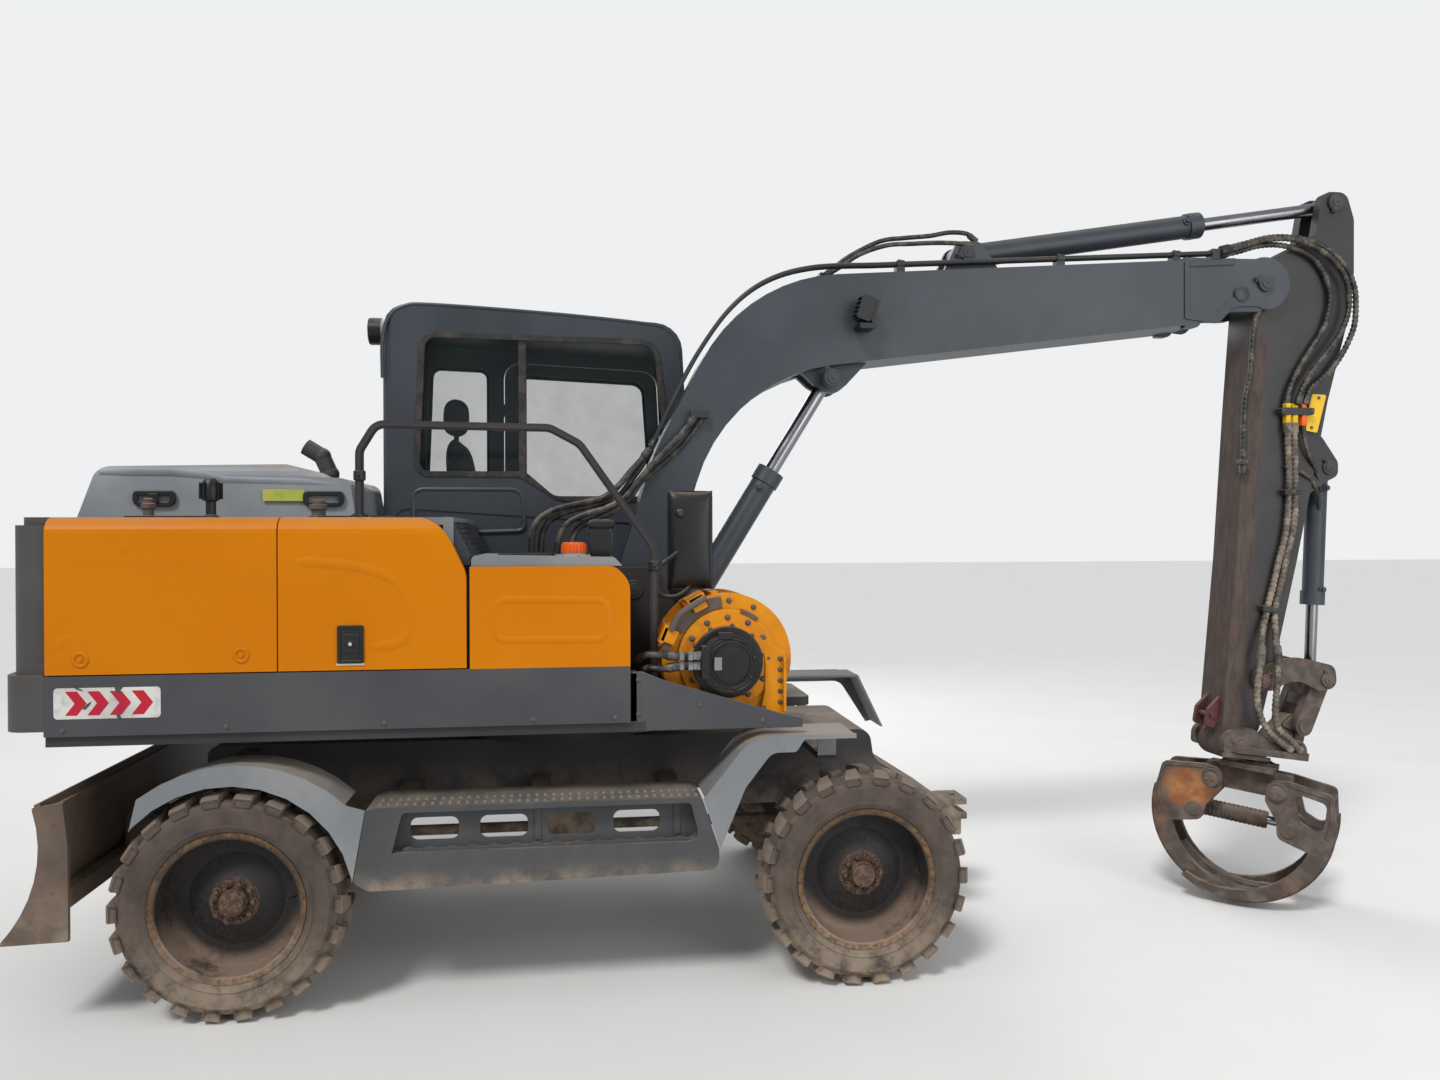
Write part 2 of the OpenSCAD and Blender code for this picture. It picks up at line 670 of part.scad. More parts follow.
module engine_deck() {
    edge = upper_half - 66 - seat_gap;
    color("#5d6469") placed() {
        difference() {
            union() {
                box([tail_front_x + seat_gap, door_front_x - 60], [-edge, 0], [house_top - 30, house_top]);
                box([tail_front_x + seat_gap, cab_rear_x - 12], [-5, edge], [house_top - 30, house_top]);
                box([door_front_x - 100, door_front_x - 60], [-edge, -10], [deck_high, house_top - 10]);
                box([cab_rear_x - 52, cab_rear_x - 12], [-10, edge], [deck_high, house_top - 10]);
                box([cab_rear_x - 52, door_front_x - 60], [-40, -5], [deck_high, house_top - 10]);
            }
            box([-1800, -960], [-380, 240], [house_top - 60, house_top + 20]);
        }
        side_plate(outline([
            [door_front_x + 12, tank_top_z + seat_gap, 0], [tank_front_x - 30, tank_top_z + seat_gap, 0],
            [tank_front_x - 60, tank_top_z + 34, 20], [door_front_x + 12, tank_top_z + 44, 20]
        ]), [-upper_half + 20, -450]);
        translate([60, -upper_half + 140, tank_top_z + 20]) cylinder(r = 42, h = 70);
    }
}

module engine_block() {
    color("#3b3b3b") placed() box([-1720, -1000], [-340, 300], [deck_high, 1800]);
}

module hood() {
    rows = [
        [-2010, house_top + seat_gap, 0], [-1940, hood_top - 15, 70], [-1170, hood_top, 60],
            [-1090, hood_top - 54, 40],
        [-905, hood_top - 64, 50], [-878, house_top + seat_gap, 0]
    ];
    inner = [
        [-1985, house_top - 5, 0], [-1922, hood_top - 38, 60], [-1180, hood_top - 22, 50],
            [-1100, hood_top - 76, 30],
        [-925, hood_top - 86, 40], [-900, house_top - 5, 0]
    ];
    color("#777e84") placed() difference() {
        intersection() {
            side_plate(outline(rows), [-450, 330]);
            cross_plate(outline([[-450, house_top, 0], [330, house_top, 0], [300, hood_top + 2, 60],
                [-420, hood_top + 2, 60]]),
                [-2020, -860]);
        }
        intersection() {
            side_plate(outline(inner), [-430, 310]);
            cross_plate(outline([[-428, house_top - 6, 0], [308, house_top - 6, 0], [280, hood_top - 20, 50],
                [-400, hood_top - 20, 50]]), [-2020, -860]);
        }
    }
}

// Cross section of a right door: upright face, rounded into the deck
function door_section(t) = concat(
    [[-upper_half, band_top + door_gap]],
    arc([-upper_half + 62, house_top - 62], 62, 180, 90, 6),
    [[-upper_half + 66, house_top], [-upper_half + 66, house_top - t]],
    arc([-upper_half + 62, house_top - 62], 62 - t, 90, 180, 6),
    [[-upper_half + t, band_top + door_gap]]
);

module door_right_rear() {
    color("#e0900f") placed()
        cross_plate(door_section(door_t), [tail_front_x + door_gap, door_seam_x - door_gap / 2]);
}

module door_right_front() {
    color("#e0900f") placed() intersection() {
        cross_plate(door_section(door_t), [door_seam_x + door_gap / 2, door_front_x - door_gap]);
        side_plate(outline([
            [door_seam_x, band_top, 0], [door_seam_x, house_top + 5, 0],
                [door_front_x - 110, house_top + 5, 180],
            [door_front_x - door_gap, 1700, 120], [door_front_x - door_gap, band_top, 0]
        ]), [-upper_half - 10, -upper_half + 80]);
    }
}

module door_left() {
    color("#e0900f") placed() mirror([0, 1, 0])
        cross_plate(door_section(door_t), [tail_front_x + door_gap, cab_rear_x - 20]);
}

module tank_box() {
    color("#e0900f") placed() side_plate(outline([
        [door_front_x + 8, band_top + seat_gap, 0], [tank_front_x, band_top + seat_gap, 0],
        [tank_front_x, tank_top_z - 60, 100], [tank_front_x - 60, tank_top_z, 60],
            [door_front_x + 8, tank_top_z, 0]
    ]), [-upper_half, -430]);
}

module exhaust() {
    y = 430;
    base = [-1170, y, house_top + seat_gap];
    color("#6e6a66") placed() difference() {
        union() {
            translate([-1170, y, house_top + seat_gap]) cylinder(r = 62, h = 12);
            tube([[-1170, y, house_top + 10], [-1170, y, 2160], [-1210, y, 2250], [-1290, y, 2300]], 42);
        }
        translate([-1290, y, 2300]) rotate([0, -58, 0]) cylinder(r = 60, h = 60);
        bar([-1215, y, 2254], [-1330, y, 2325], 36);
    }
}

handrail_path = [
    [-795, 2190, 60], [-730, 2298, 60], [-37, 2290, 80], [85, 2225, 80], [392, 1790, 120]
];

module handrail() {
    y = -800;
    path = concat([[-795, house_top + seat_gap]],
        [for (i = [0 : 4])
            let (
                before = i == 0 ? [-795, house_top, 0] : handrail_path[i - 1],
                after = i == 4 ? [392, deck_high, 0] : handrail_path[i + 1]
            )
            each corner(before, handrail_path[i], after, 5)],
        [[392, deck_high + seat_gap]]);
    color("#222426") placed() {
        for (w = [[8, 16], [16, 8]])
            side_plate(strip(path, w[0]), [y - w[1], y + w[1]]);
        translate([-795, y, house_top + seat_gap]) cylinder(r = 34, h = 10);
        translate([392, y, deck_high + seat_gap]) cylinder(r = 34, h = 10);
    }
}

// Front of the handrail's post at the mirror
rail_x = 392 + 16;

module mirror_head(x, y, z, w, h, t) {
    translate([x, y, z]) rotate([90, 0, 0]) translate([0, 0, -t / 2]) linear_extrude(t)
        polygon(outline([[-w / 2, -h / 2, 28], [w / 2, -h / 2, 28], [w / 2, h / 2, 28],
            [-w / 2, h / 2, 28]]));
}

module mirrors() {
    color("#1d1f21") placed() {
        bar([rail_x + 8, -800, 1720], [540, -705, 1800], 9);
        box([rail_x + seat_gap, rail_x + 16], [-812, -788], [1700, 1740]);
        mirror_head(555, -690, 1826, 190, 420, 50);
        box([640 + seat_gap, 652], [cab_y[1] - 78, cab_y[1] - 62], [1755, 1805]);
        bar([650, cab_y[1] - 70, 1780], [740, cab_y[1] - 55, 1800], 7);
        translate([735, cab_y[1] - 50, 1890]) rotate([0, 0, 80]) mirror_head(0, 0, 0, 180, 360, 45);
    }
}

// Winch at the right front

module winch_housing() {
    x = winch[0];
    z = winch[1];
    color("#e6a212") placed() difference() {
        union() {
            bar_y(winch, 272, [-850, -815]);
            bar_y(winch, 205, [-816, -520]);
            bar_y(winch, 272, [-525, -490]);
            bar_y(winch, 190, [-868, -849]);
            side_plate(outline([
                [x - 150, deck_high + seat_gap, 0], [x + 240, deck_high + seat_gap, 0],
                    [x + 240, z + 80, 30],
                [x + 120, z + 150, 60], [x - 250, z + 60, 60]
            ]), [-848, -492]);
            for (a = [100, 125, 150, 175])
                translate([x, -670, z]) rotate([0, -a, 0]) box([200, 279], [-150, 150], [-14, 14]);
        }
        box([x - 300, x + 300], [-900, -450], [deck_low - 50, deck_high + seat_gap]);
        for (i = [0 : 11])
            translate([x, -860, z]) rotate([0, 30 * i, 0]) translate([165, 0, 0])
                rotate([-90, 0, 0]) cylinder(r = 7, h = 60, center = true);
    }
}

module winch_motor() {
    x = winch[0];
    z = winch[1];
    color("#1c1c1e") placed() {
        bar_y([x - 5, z - 10], 142, [-920, -868 - seat_gap]);
        bar_y([x - 5, z - 10], 120, [-965, -919]);
        bar_y([x - 5, z - 10], 70, [-985, -964]);
        for (dz = [20, 60])
            bar([x - 230, -930, z + dz - 40], [x - 100, -930, z + dz - 40], 16);
    }
}

// Cab

cab_y = [cab_right_y, upper_half - 5];
cab_mid = (cab_y[0] + cab_y[1]) / 2;
seat_half = (cab_y[1] - cab_y[0]) / 2 - 247.5;   // between the two consoles

function cab_rows(in) = [
    [cab_rear_x + in, deck_high + seat_gap + in, 20], [cab_rear_x + in, cab_top - in, 130 - in],
    [590 - in, cab_top - 75 - in, 140 - in], [650 - in, 1700, 200], [590 - in, deck_high + seat_gap + in, 40]
];

window_side = [
    [-690, 2137, 60], [-660, 2815, 70], [470, 2800, 90], [555, 2019, 60], [-15, 2019, 90], [-190, 2139, 90]
];
door_rows = [
    [-330, 1180, 40], [-330, 2830, 90], [540, 2790, 100], [590, 1700, 150], [560, 1180, 60]
];
door_window = [
    [-250, 1960, 60], [-250, 2760, 60], [470, 2730, 80], [520, 1960, 60]
];
rear_left_window = [
    [-770, 2020, 60], [-740, 2800, 60], [-410, 2790, 60], [-410, 2020, 60]
];

door_hinge = [door_rows[0][0] + door_gap, cab_y[1] + 16];
door_hinge_z = [1420, 2560];
hinge_pin_r = 7;

function grown(rows, by) =
    let (cx = (rows[0][0] + rows[2][0]) / 2, cz = (rows[0][1] + rows[1][1]) / 2)
    [for (r = rows) [r[0] + (r[0] > cx ? by : -by), r[1] + (r[1] > cz ? by : -by), max(5, r[2] + by)]];

module cab_plan(in, z) {
    plan_plate(outline([
        [cab_rear_x + in, cab_y[0] + in, 70], [640 - in, cab_y[0] + in, 60], [640 - in, cab_y[1] - in, 60],
        [cab_rear_x + in, cab_y[1] - in, 70]
    ]), z);
}

module cab_shell() {
    color("#454b52") placed() {
        difference() {
            intersection() {
                side_plate(outline(cab_rows(0)), cab_y);
                cab_plan(0, [deck_high, cab_top + 10]);
            }
            side_plate(outline(cab_rows(cab_wall)), [cab_y[0] + cab_wall, cab_y[1] - cab_wall]);
            side_plate(outline(window_side), [cab_y[0] - 5, cab_y[0] + cab_wall + 5]);
            side_plate(outline([[-790, 1220, 40], [430, 1220, 60], [430, 1900, 60], [-790, 1980, 60]]),
                [cab_y[0] - 5, cab_y[0] + 8]);
            side_plate(outline(rear_left_window), [cab_y[1] - cab_wall - 5, cab_y[1] + 5]);
            side_plate(outline(door_rows), [cab_y[1] - cab_wall - 5, cab_y[1] + 5]);
            box([cab_rear_x - 5, cab_rear_x + cab_wall + 5], [cab_y[0] + 140, cab_y[1] - 140], [2080, 2760]);
            box([480, 700], [cab_y[0] + 90, cab_y[1] - 90], [1250, 1640]);
            box([480, 700], [cab_y[0] + 80, cab_y[1] - 80], [1740, 2740]);
        }
        box([cab_rear_x + 10, 600], [cab_y[0] + 10, cab_y[1] - cab_wall - 1],
            [deck_high + 110, deck_high + 150]);
        for (z = door_hinge_z) {
            translate([door_hinge[0], door_hinge[1], z - 35]) cylinder(r = hinge_pin_r, h = 70);
            for (dz = [-35, 20 + seat_gap])
                box([door_hinge[0] - 55, door_hinge[0]], [cab_y[1] - 2, door_hinge[1] + 4],
                    [z + dz, z + dz + 15 - seat_gap]);
        }
    }
}

module cab_glass() {
    mid = cab_wall / 2;
    color([0.3, 0.36, 0.38, 0.5]) placed() {
        side_plate(outline(grown(window_side, -seat_gap)), [cab_y[0] + mid, cab_y[0] + mid + glass_t]);
        side_plate(outline(grown(rear_left_window, -seat_gap)), [cab_y[1] - mid - glass_t, cab_y[1] - mid]);
        box([cab_rear_x + mid, cab_rear_x + mid + glass_t],
            [cab_y[0] + 140 + seat_gap, cab_y[1] - 140 - seat_gap], [2080 + seat_gap, 2760 - seat_gap]);
        box([604, 604 + glass_t], [cab_y[0] + 90 + seat_gap, cab_y[1] - 90 - seat_gap],
            [1250 + seat_gap, 1640 - seat_gap]);
        side_plate([[622, 1740 + seat_gap], [628, 1740 + seat_gap], [578, 2740 - seat_gap],
            [572, 2740 - seat_gap]],
            [cab_y[0] + 80 + seat_gap, cab_y[1] - 80 - seat_gap]);
    }
}

module cab_door() {
    color("#454b52") placed() difference() {
        union() {
            side_plate(outline(grown(door_rows, -door_gap)), [cab_y[1] - cab_wall, cab_y[1]]);
            for (z = door_hinge_z) {
                translate([door_hinge[0], door_hinge[1], z - 20]) cylinder(r = hinge_pin_r + 5, h = 40);
                box([door_hinge[0], door_hinge[0] + 60], [cab_y[1] - 2, door_hinge[1] + 4],
                    [z - 20, z + 20]);
            }
        }
        side_plate(outline(door_window), [cab_y[1] - cab_wall - 5, cab_y[1] + 5]);
        for (z = door_hinge_z)
            translate([door_hinge[0], door_hinge[1], z - 40]) cylinder(r = hinge_pin_r + fit, h = 80);
    }
}

module cab_door_glass() {
    color([0.3, 0.36, 0.38, 0.5]) placed()
        side_plate(outline(grown(door_window, -seat_gap)),
            [cab_y[1] - cab_wall / 2 - glass_t, cab_y[1] - cab_wall / 2]);
}

module seat() {
    y = [cab_mid - seat_half, cab_mid + seat_half];
    z0 = deck_high + 150 + seat_gap;
    color("#2a2b2d") placed() {
        box([-420, 20], [y[0] + 80, y[1] - 80], [z0, z0 + 330]);
        side_plate(outline([[-470, z0 + 329, 30], [60, z0 + 329, 60], [60, z0 + 450, 60],
            [-470, z0 + 440, 30]]), y);
        side_plate(outline([[-520, z0 + 380, 30], [-400, z0 + 380, 30], [-470, z0 + 1080, 50],
            [-610, z0 + 1080, 50]]),
            [y[0] + 30, y[1] - 30]);
        side_plate(outline([[-600, z0 + 1120, 30], [-480, z0 + 1120, 30], [-500, z0 + 1300, 40],
            [-610, z0 + 1300, 40]]),
            [cab_mid - 110, cab_mid + 110]);
        for (dy = [cab_mid - 60, cab_mid + 60])
            bar([-545, dy, z0 + 1060], [-550, dy, z0 + 1140], 8);
    }
}

module cab_console() {
    z0 = deck_high + 150 + seat_gap;
    color("#2e3032") placed() {
        for (y = [[cab_y[0] + 110, cab_y[0] + 230], [cab_y[1] - 225, cab_y[1] - 105]]) {
            side_plate(outline([[-430, z0, 0], [60, z0, 20], [110, z0 + 560, 40], [-400, z0 + 560, 40]]), y);
            translate([60, (y[0] + y[1]) / 2, z0 + 550]) cylinder(r = 18, h = 165);
        }
        side_plate(outline([[330, z0, 0], [470, z0, 0], [430, z0 + 520, 40], [330, z0 + 480, 40]]),
            [cab_mid - 90, cab_mid + 90]);
        translate([330, cab_mid, z0 + 560]) rotate([0, -60, 0]) {
            rotate_extrude() polygon([[158, -8], [166, -13], [180, -9], [184, 3], [178, 12], [164, 12],
                [157, 4]]);
            cylinder(r = 30, h = 14, center = true);
            translate([0, 0, -95]) cylinder(r = 20, h = 92);
            for (a = [90, 210, 330])
                rotate([0, 0, a]) box([0, 168], [-12, 12], [-4, 4]);
        }
        for (y = [cab_mid - 80, cab_mid + 50])
            side_plate(outline([[180, z0, 0], [200, z0, 0], [290, z0 + 110, 8], [270, z0 + 116, 8]]),
                [y, y + 60]);
    }
}

module cab_lamps() {
    color("#26282a") placed() {
        translate([cab_rear_x - 70, 190, 2850]) rotate([0, 90, 0]) cylinder(r = 62, h = 50);
        box([cab_rear_x - 40, cab_rear_x - seat_gap], [175, 205], [2790, 2825]);
    }
}

// Boom

boom_in = [boom_y - boom_w / 2, boom_y + boom_w / 2];
boom_bend = [853, 3040];
boom_nose = [3330, 3212];

// Height of the boom's top face, and of the pipes along it, at x
function boom_top(x) = boom_bend[1]
    + (x - boom_bend[0]) * (boom_nose[1] - boom_bend[1]) / (boom_nose[0] - boom_bend[0]);
function pipe_z(x) = 3125 + (x - 1500) * 0.065;

module boom() {
    color("#3d4248") placed() difference() {
        union() {
            side_plate(outline([
                [225, 1560, 90], [430, 2230, 900], concat(boom_bend, 930), concat(boom_nose, 30),
                    [3330, 2960, 30],
                [3120, 2882, 200], [767, 2579, 950], [470, 1560, 90]
            ], 9), boom_in);
            bar_y([boom_foot_x, boom_foot_z], 108, boom_in);
            for (y = [[boom_in[0], boom_in[0] + 40], [boom_in[1] - 40, boom_in[1]]]) {
                side_plate(outline([[3050, 3150, 0], [3050, 2925, 40], [3300, 2945, 60], [3480, 2950, 60],
                    [3480, 3210, 60], [3250, 3206, 0]]), y);
                bar_y([arm_pin_x, arm_pin_z], 130, y);
                side_plate(outline([[3040, 3206, 0], [3040, 2860, 0], [3110, 2860, 40], [3150, 2930, 30],
                    [3150, 3206, 0]]), y);
            }
            for (y = [[boom_y - 82, boom_y - 48], [boom_y + 48, boom_y + 82]])
                side_plate(outline([
                    [1080, 2660, 0], [1190, 2560, 60], [1290, 2510, 60], [1350, 2560, 60], [1500, 2720, 0]
                ]), y);
            for (y = [[boom_y - arm_cyl_r - 35, boom_y - arm_cyl_r - 5],
                [boom_y + arm_cyl_r + 5, boom_y + arm_cyl_r + 35]])
                side_plate(outline([
                    [1820, 3090, 0], [2120, 3110, 0], [2020, 3262, 50], [1900, 3262, 50]
                ]), y);
            for (y = [[boom_y - 96, boom_y - 48], [boom_y + 48, boom_y + 96]])
                bar_y(boom_cyl_eye, pin_r + 8, y);
            bar_y([arm_pin_x, arm_pin_z], pin_r, [boom_in[0] - 12, boom_in[1] + 12]);
            bar_y(arm_cyl_base, pin_r, [boom_y - arm_cyl_r - 45, boom_y + arm_cyl_r + 45]);
        }
        bar_y([boom_foot_x, boom_foot_z], pin_r + fit, [boom_in[0] - 1, boom_in[1] + 1]);
        side_plate(outline([
            [1100, 2540, 0], [1100, 2640, 30], [1150, 2695, 40], [1335, 2695, 30], [1345, 2540, 0]
        ]), [boom_y - 45, boom_y + 45]);
    }
}

module boom_pipes() {
    color("#2b2d2f") placed() {
        for (y = [boom_in[0] + 15, boom_in[0] + 42])
            tube([[420, y, 2262], [640, y, 2700], [790, y, 2920], [960, y, 3040], [1180, y, 3105],
                [1500, y, pipe_z(1500)], [3240, y, pipe_z(3240)]], 11);
        for (x = [1600, 2400, 3000])
            side_plate([[x, boom_top(x) + seat_gap], [x + 40, boom_top(x + 40) + seat_gap],
                [x + 40, pipe_z(x + 40) + 17], [x, pipe_z(x) + 17]], [boom_in[0] + 1, boom_in[0] + 57]);
        translate([1420, boom_in[0] - 62, 2890]) rotate([0, 18, 0]) {
            box([-55, 35], [-42, 30], [-60, 60]);
            box([-12, 12], [20, 61.7], [-30, 30]);
        }
    }
}

module boom_barrel() {
    color("#3d4248") placed() barrel(boom_cyl_base, boom_cyl_eye, boom_y, boom_cyl_r, 860, 58,
        2 * boom_cyl_r - 8, pin_r);
}

module boom_rod() {
    color("#c9ccce") placed() rod(boom_cyl_base, boom_cyl_eye, boom_y, boom_rod_r, 1000, 52, 80, pin_r);
}

module arm_barrel() {
    color("#3d4248") placed() barrel(arm_cyl_base, horn, boom_y, arm_cyl_r, 1270, 56, 2 * arm_cyl_r - 8,
        pin_r);
}

module arm_rod() {
    color("#c9ccce") placed() rod(arm_cyl_base, horn, boom_y, arm_rod_r, 1330, 50, 80, pin_r);
}

// Arm

arm_in = [boom_y - arm_w / 2, boom_y + arm_w / 2];

module arm() {
    color("#393c40") placed() difference() {
        union() {
            side_plate(outline([
                [horn[0] - 68, horn[1] + 55, 55], [horn[0] + 62, horn[1] + 55, 55], [front_x, 3440, 80],
                [front_x, 3170, 90], [3965, 2960, 200], [3846, 2518, 500], [3678, 1714, 400],
                    [3560, 1212, 200],
                [3470, 860, 90], [3350, 720, 60], [3262, 740, 40], [3283, 1019, 400], [3347, 1715, 900],
                [3400, 2512, 900], [3436, 2970, 60], [3380, 3040, 60], [3395, 3180, 60], [3560, 3235, 80],
                [3776, 3340, 40]
            ]), arm_in);
            bar_y([hanger_x, hanger_z], 85, arm_in);
            for (y = [[boom_y - tool_cyl_r - 35, boom_y - tool_cyl_r - 5],
                [boom_y + tool_cyl_r + 5, boom_y + tool_cyl_r + 35]])
                side_plate(outline([
                    [3740, 2420, 0], [3730, 2030, 0], [3850, 2110, 30], [3915, 2140, 40], [3915, 2210, 50],
                        [3830, 2330, 60]
                ]), y);
            bar_y(tool_cyl_base, 24, [boom_y - tool_cyl_r - 42, boom_y + tool_cyl_r + 42]);
            bar_y([hanger_x, hanger_z], pin_r, [arm_in[0] - 52, arm_in[1] + 52]);
            bar_y(horn, 44, [arm_in[0] - 12, arm_in[1] + 12]);
        }
        side_plate(outline([[3640, 3250, 40], [3660, 3700, 0], [4100, 3700, 0], [4100, 3250, 0]]),
            [boom_y - 45, boom_y + 45]);
        bar_y([arm_pin_x, arm_pin_z], pin_r + fit, [arm_in[0] - 1, arm_in[1] + 1]);
        bar_y(rocker_pin, 24 + fit, [arm_in[0] - 1, arm_in[1] + 1]);
    }
}

module tool_barrel() {
    color("#3d4248") placed() barrel(tool_cyl_base, link_pin, boom_y, tool_cyl_r, 700, 46,
        2 * tool_cyl_r - 8, 24);
}

module tool_rod() {
    color("#c9ccce") placed() rod(tool_cyl_base, link_pin, boom_y, tool_rod_r, 780, 42, 76, 24);
}

module rocker() {
    color("#4d443d") placed() {
        for (y = [[arm_in[0] - 32, arm_in[0] - 6], [arm_in[1] + 6, arm_in[1] + 32]])
            side_plate(outline([
                [3425, 1062, 45], [3428, 1166, 45], [3640, 1232, 260], [3866, 1178, 50], [3876, 1068, 45],
                [3780, 1052, 40], [3650, 1120, 160], [3520, 1060, 40]
            ]), y);
        bar_y(rocker_pin, 24, [arm_in[0] - 40, arm_in[1] + 40]);
        bar_y(link_pin, 24, [arm_in[0] - 40, arm_in[0] + 50]);
        bar_y(link_pin, 24, [arm_in[1] - 50, arm_in[1] + 40]);
    }
}

module link() {
    d = unit(hanger_lug - link_pin);
    n = [-d[1], d[0]];
    a = link_pin - 46 * d;
    b = hanger_lug + 46 * d;
    m0 = link_pin + 105 * d;
    m1 = link_pin + 160 * d;
    color("#4d443d") placed() difference() {
        union() {
            for (y = [[arm_in[0], arm_in[0] + 45], [arm_in[1] - 45, arm_in[1]]])
                side_plate(outline([
                    concat(a + 46 * n, 44), concat(a - 46 * n, 44), concat(b - 46 * n, 44),
                        concat(b + 46 * n, 44)
                ]), y);
            side_plate([m0 + 40 * n, m0 - 40 * n, m1 - 40 * n, m1 + 40 * n], arm_in);
        }
        bar_y(link_pin, 24 + fit, [arm_in[0] - 1, arm_in[1] + 1]);
    }
    color("#4d443d") placed() for (y = [[arm_in[0] - 8, arm_in[0] + 40], [arm_in[1] - 40, arm_in[1] + 8]])
        bar_y(hanger_lug, 32, y);
}

// Hanger and grapple

module at_flange() {
    placed() translate([flange[0], boom_y, flange[1]]) rotate([0, grapple_tilt, 0]) children();
}

// The grapple's own frame, turned on the rotator
module at_grapple() {
    at_flange() rotate([0, 0, grapple_turned]) children();
}

module hanger() {
    color("#5a5148") difference() {
        union() {
            at_flange() {
                intersection() {
                    box([-235, 240], [-170, 170], [0, 34]);
                    translate([0, 0, -1]) cylinder(r = 256, h = 40);
                }
                translate([0, 0, -45]) cylinder(r = 70, h = 50);
                cylinder(r = 105, h = 40);
            }
            placed() {
                for (y = [[arm_in[0] - 45, arm_in[0] - 5], [arm_in[1] + 5, arm_in[1] + 45]])
                    side_plate(outline([
                        [3250, 760, 20], [3255, 860, 70], [3400, 880, 70], [3520, 800, 60], [3600, 745, 20]
                    ]), y);
                side_plate(outline([
                    [3500, 750, 0], [3575, 835, 60], [3680, 925, 50], [3768, 910, 45], [3768, 840, 30],
                        [3740, 720, 20]
                ]), [boom_y - 45, boom_y + 45]);
            }
        }
        placed() {
            bar_y([hanger_x, hanger_z], pin_r + fit, [arm_in[0] - 60, arm_in[1] + 60]);
            bar_y([hanger_x, hanger_z], 132, [arm_in[0] - 5, arm_in[1] + 5]);
        }
    }
}

module grapple_frame() {
    u = jaw_pivot[0];
    w = jaw_pivot[1];
    color("#4f463f") at_grapple() {
        translate([0, 0, -60]) cylinder(r = 118, h = 15 - seat_gap);
        box([-122, 122], [-150, 150], [-84, -57]);
        side_plate(outline([
            [-u - 50, w - 40, 40], [u + 50, w - 40, 40], [u + 50, -82, 20], [-u - 50, -82, 20]
        ]), [-88, 88]);
        for (s = [-1, 1])
            bar_y([s * u, w], 26, [-228, 228]);
    }
}

// A curved tine from angle a0 to a1, thick for most of its length and then drawn to a point
function tine(c, r, a0, a1, root, tip, n) = concat(
    arc(c, r, a0, a1, n),
    [
        for (i = [n : -1 : 0])
            let (a = a0 + (a1 - a0) * i / n, t = tip + (root - tip) * (1 - pow(i / n, 2)))
            c + (r - t) * [cos(a), sin(a)]
    ]
);

// Left jaw in the grapple's own frame. The right one is its mirror image, with wider
// cheeks that have a window
module jaw(inner_y, window) {
    p = [-jaw_pivot[0], jaw_pivot[1]];
    q = [-jaw_lug[0], jaw_lug[1]];
    difference() {
        for (s = [-1, 1]) {
            y = s < 0 ? [-inner_y - tine_t, -inner_y] : [inner_y, inner_y + tine_t];
            side_plate(tine(bowl_centre, bowl_r, 168, 302, 86, 16, 16), y);
            side_plate(outline([
                [p[0] + 48, p[1] - 48, 46], [p[0] + 48, p[1] + 48, 46], [-190, -96, 20], [-392, -122, 30],
                [-408, -240, 0], [-400, -370, 0], [-345, -420, 40], [q[0] - 10, q[1] - 62, 30],
                [q[0] + 46, q[1] - 46, 40], [q[0] + 56, q[1] + 30, 25]
            ]), y);
        }
        for (s = [-1, 1]) {
            y = s < 0 ? [-inner_y - tine_t - 1, -inner_y + 1] : [inner_y - 1, inner_y + tine_t + 1];
            bar_y(p, 26 + fit, y);
            bar_y(q, 18, y);
            if (window)
                side_plate(outline([[-368, -166, 30], [-218, -142, 30], [-262, -275, 30],
                    [-368, -325, 40]]), y);
        }
    }
    side_plate(tine(bowl_centre, bowl_r - 8, 172, 226, 24, 20, 8), [-inner_y - 1, inner_y + 1]);
}

module jaw_left() {
    q = [-jaw_lug[0], jaw_lug[1]];
    color("#54473c") at_grapple() {
        jaw(100, false);
        bar_y(q, 18, [-149, 149]);
        side_plate(tine(bowl_centre, bowl_r - 14, 220, 296, 70, 14, 10), [-28, 28]);
        for (y = [[-82, -48], [48, 82]])
            bar_y(q, 56, y);
    }
}

module jaw_right() {
    q = [jaw_lug[0], jaw_lug[1]];
    color("#54473c") at_grapple() {
        mirror([1, 0, 0]) jaw(160, true);
        for (y = [[-208, -48], [48, 208]])
            bar_y(q, 18, y);
        for (y = [[-90, -48], [48, 90]])
            bar_y(q, 56, y);
    }
}

module grapple_barrel() {
    q = jaw_lug;
    color("#3a3632") at_grapple() difference() {
        union() {
            bar_y([-q[0], q[1]], 34, [-40, 40]);
            bar([-q[0] + 20, 0, q[1]], [-q[0] + 330, 0, q[1]], 42);
        }
        bar_y([-q[0], q[1]], 18 + fit, [-50, 50]);
        bar([-q[0] + 60, 0, q[1]], [-q[0] + 340, 0, q[1]], 22 + fit);
    }
}

module grapple_rod() {
    q = jaw_lug;
    color("#b9b4ac") at_grapple() difference() {
        union() {
            bar_y(q, 34, [-40, 40]);
            bar([q[0] - 360, 0, q[1]], [q[0] - 20, 0, q[1]], 22);
        }
        bar_y(q, 18, [-50, 50]);
    }
}

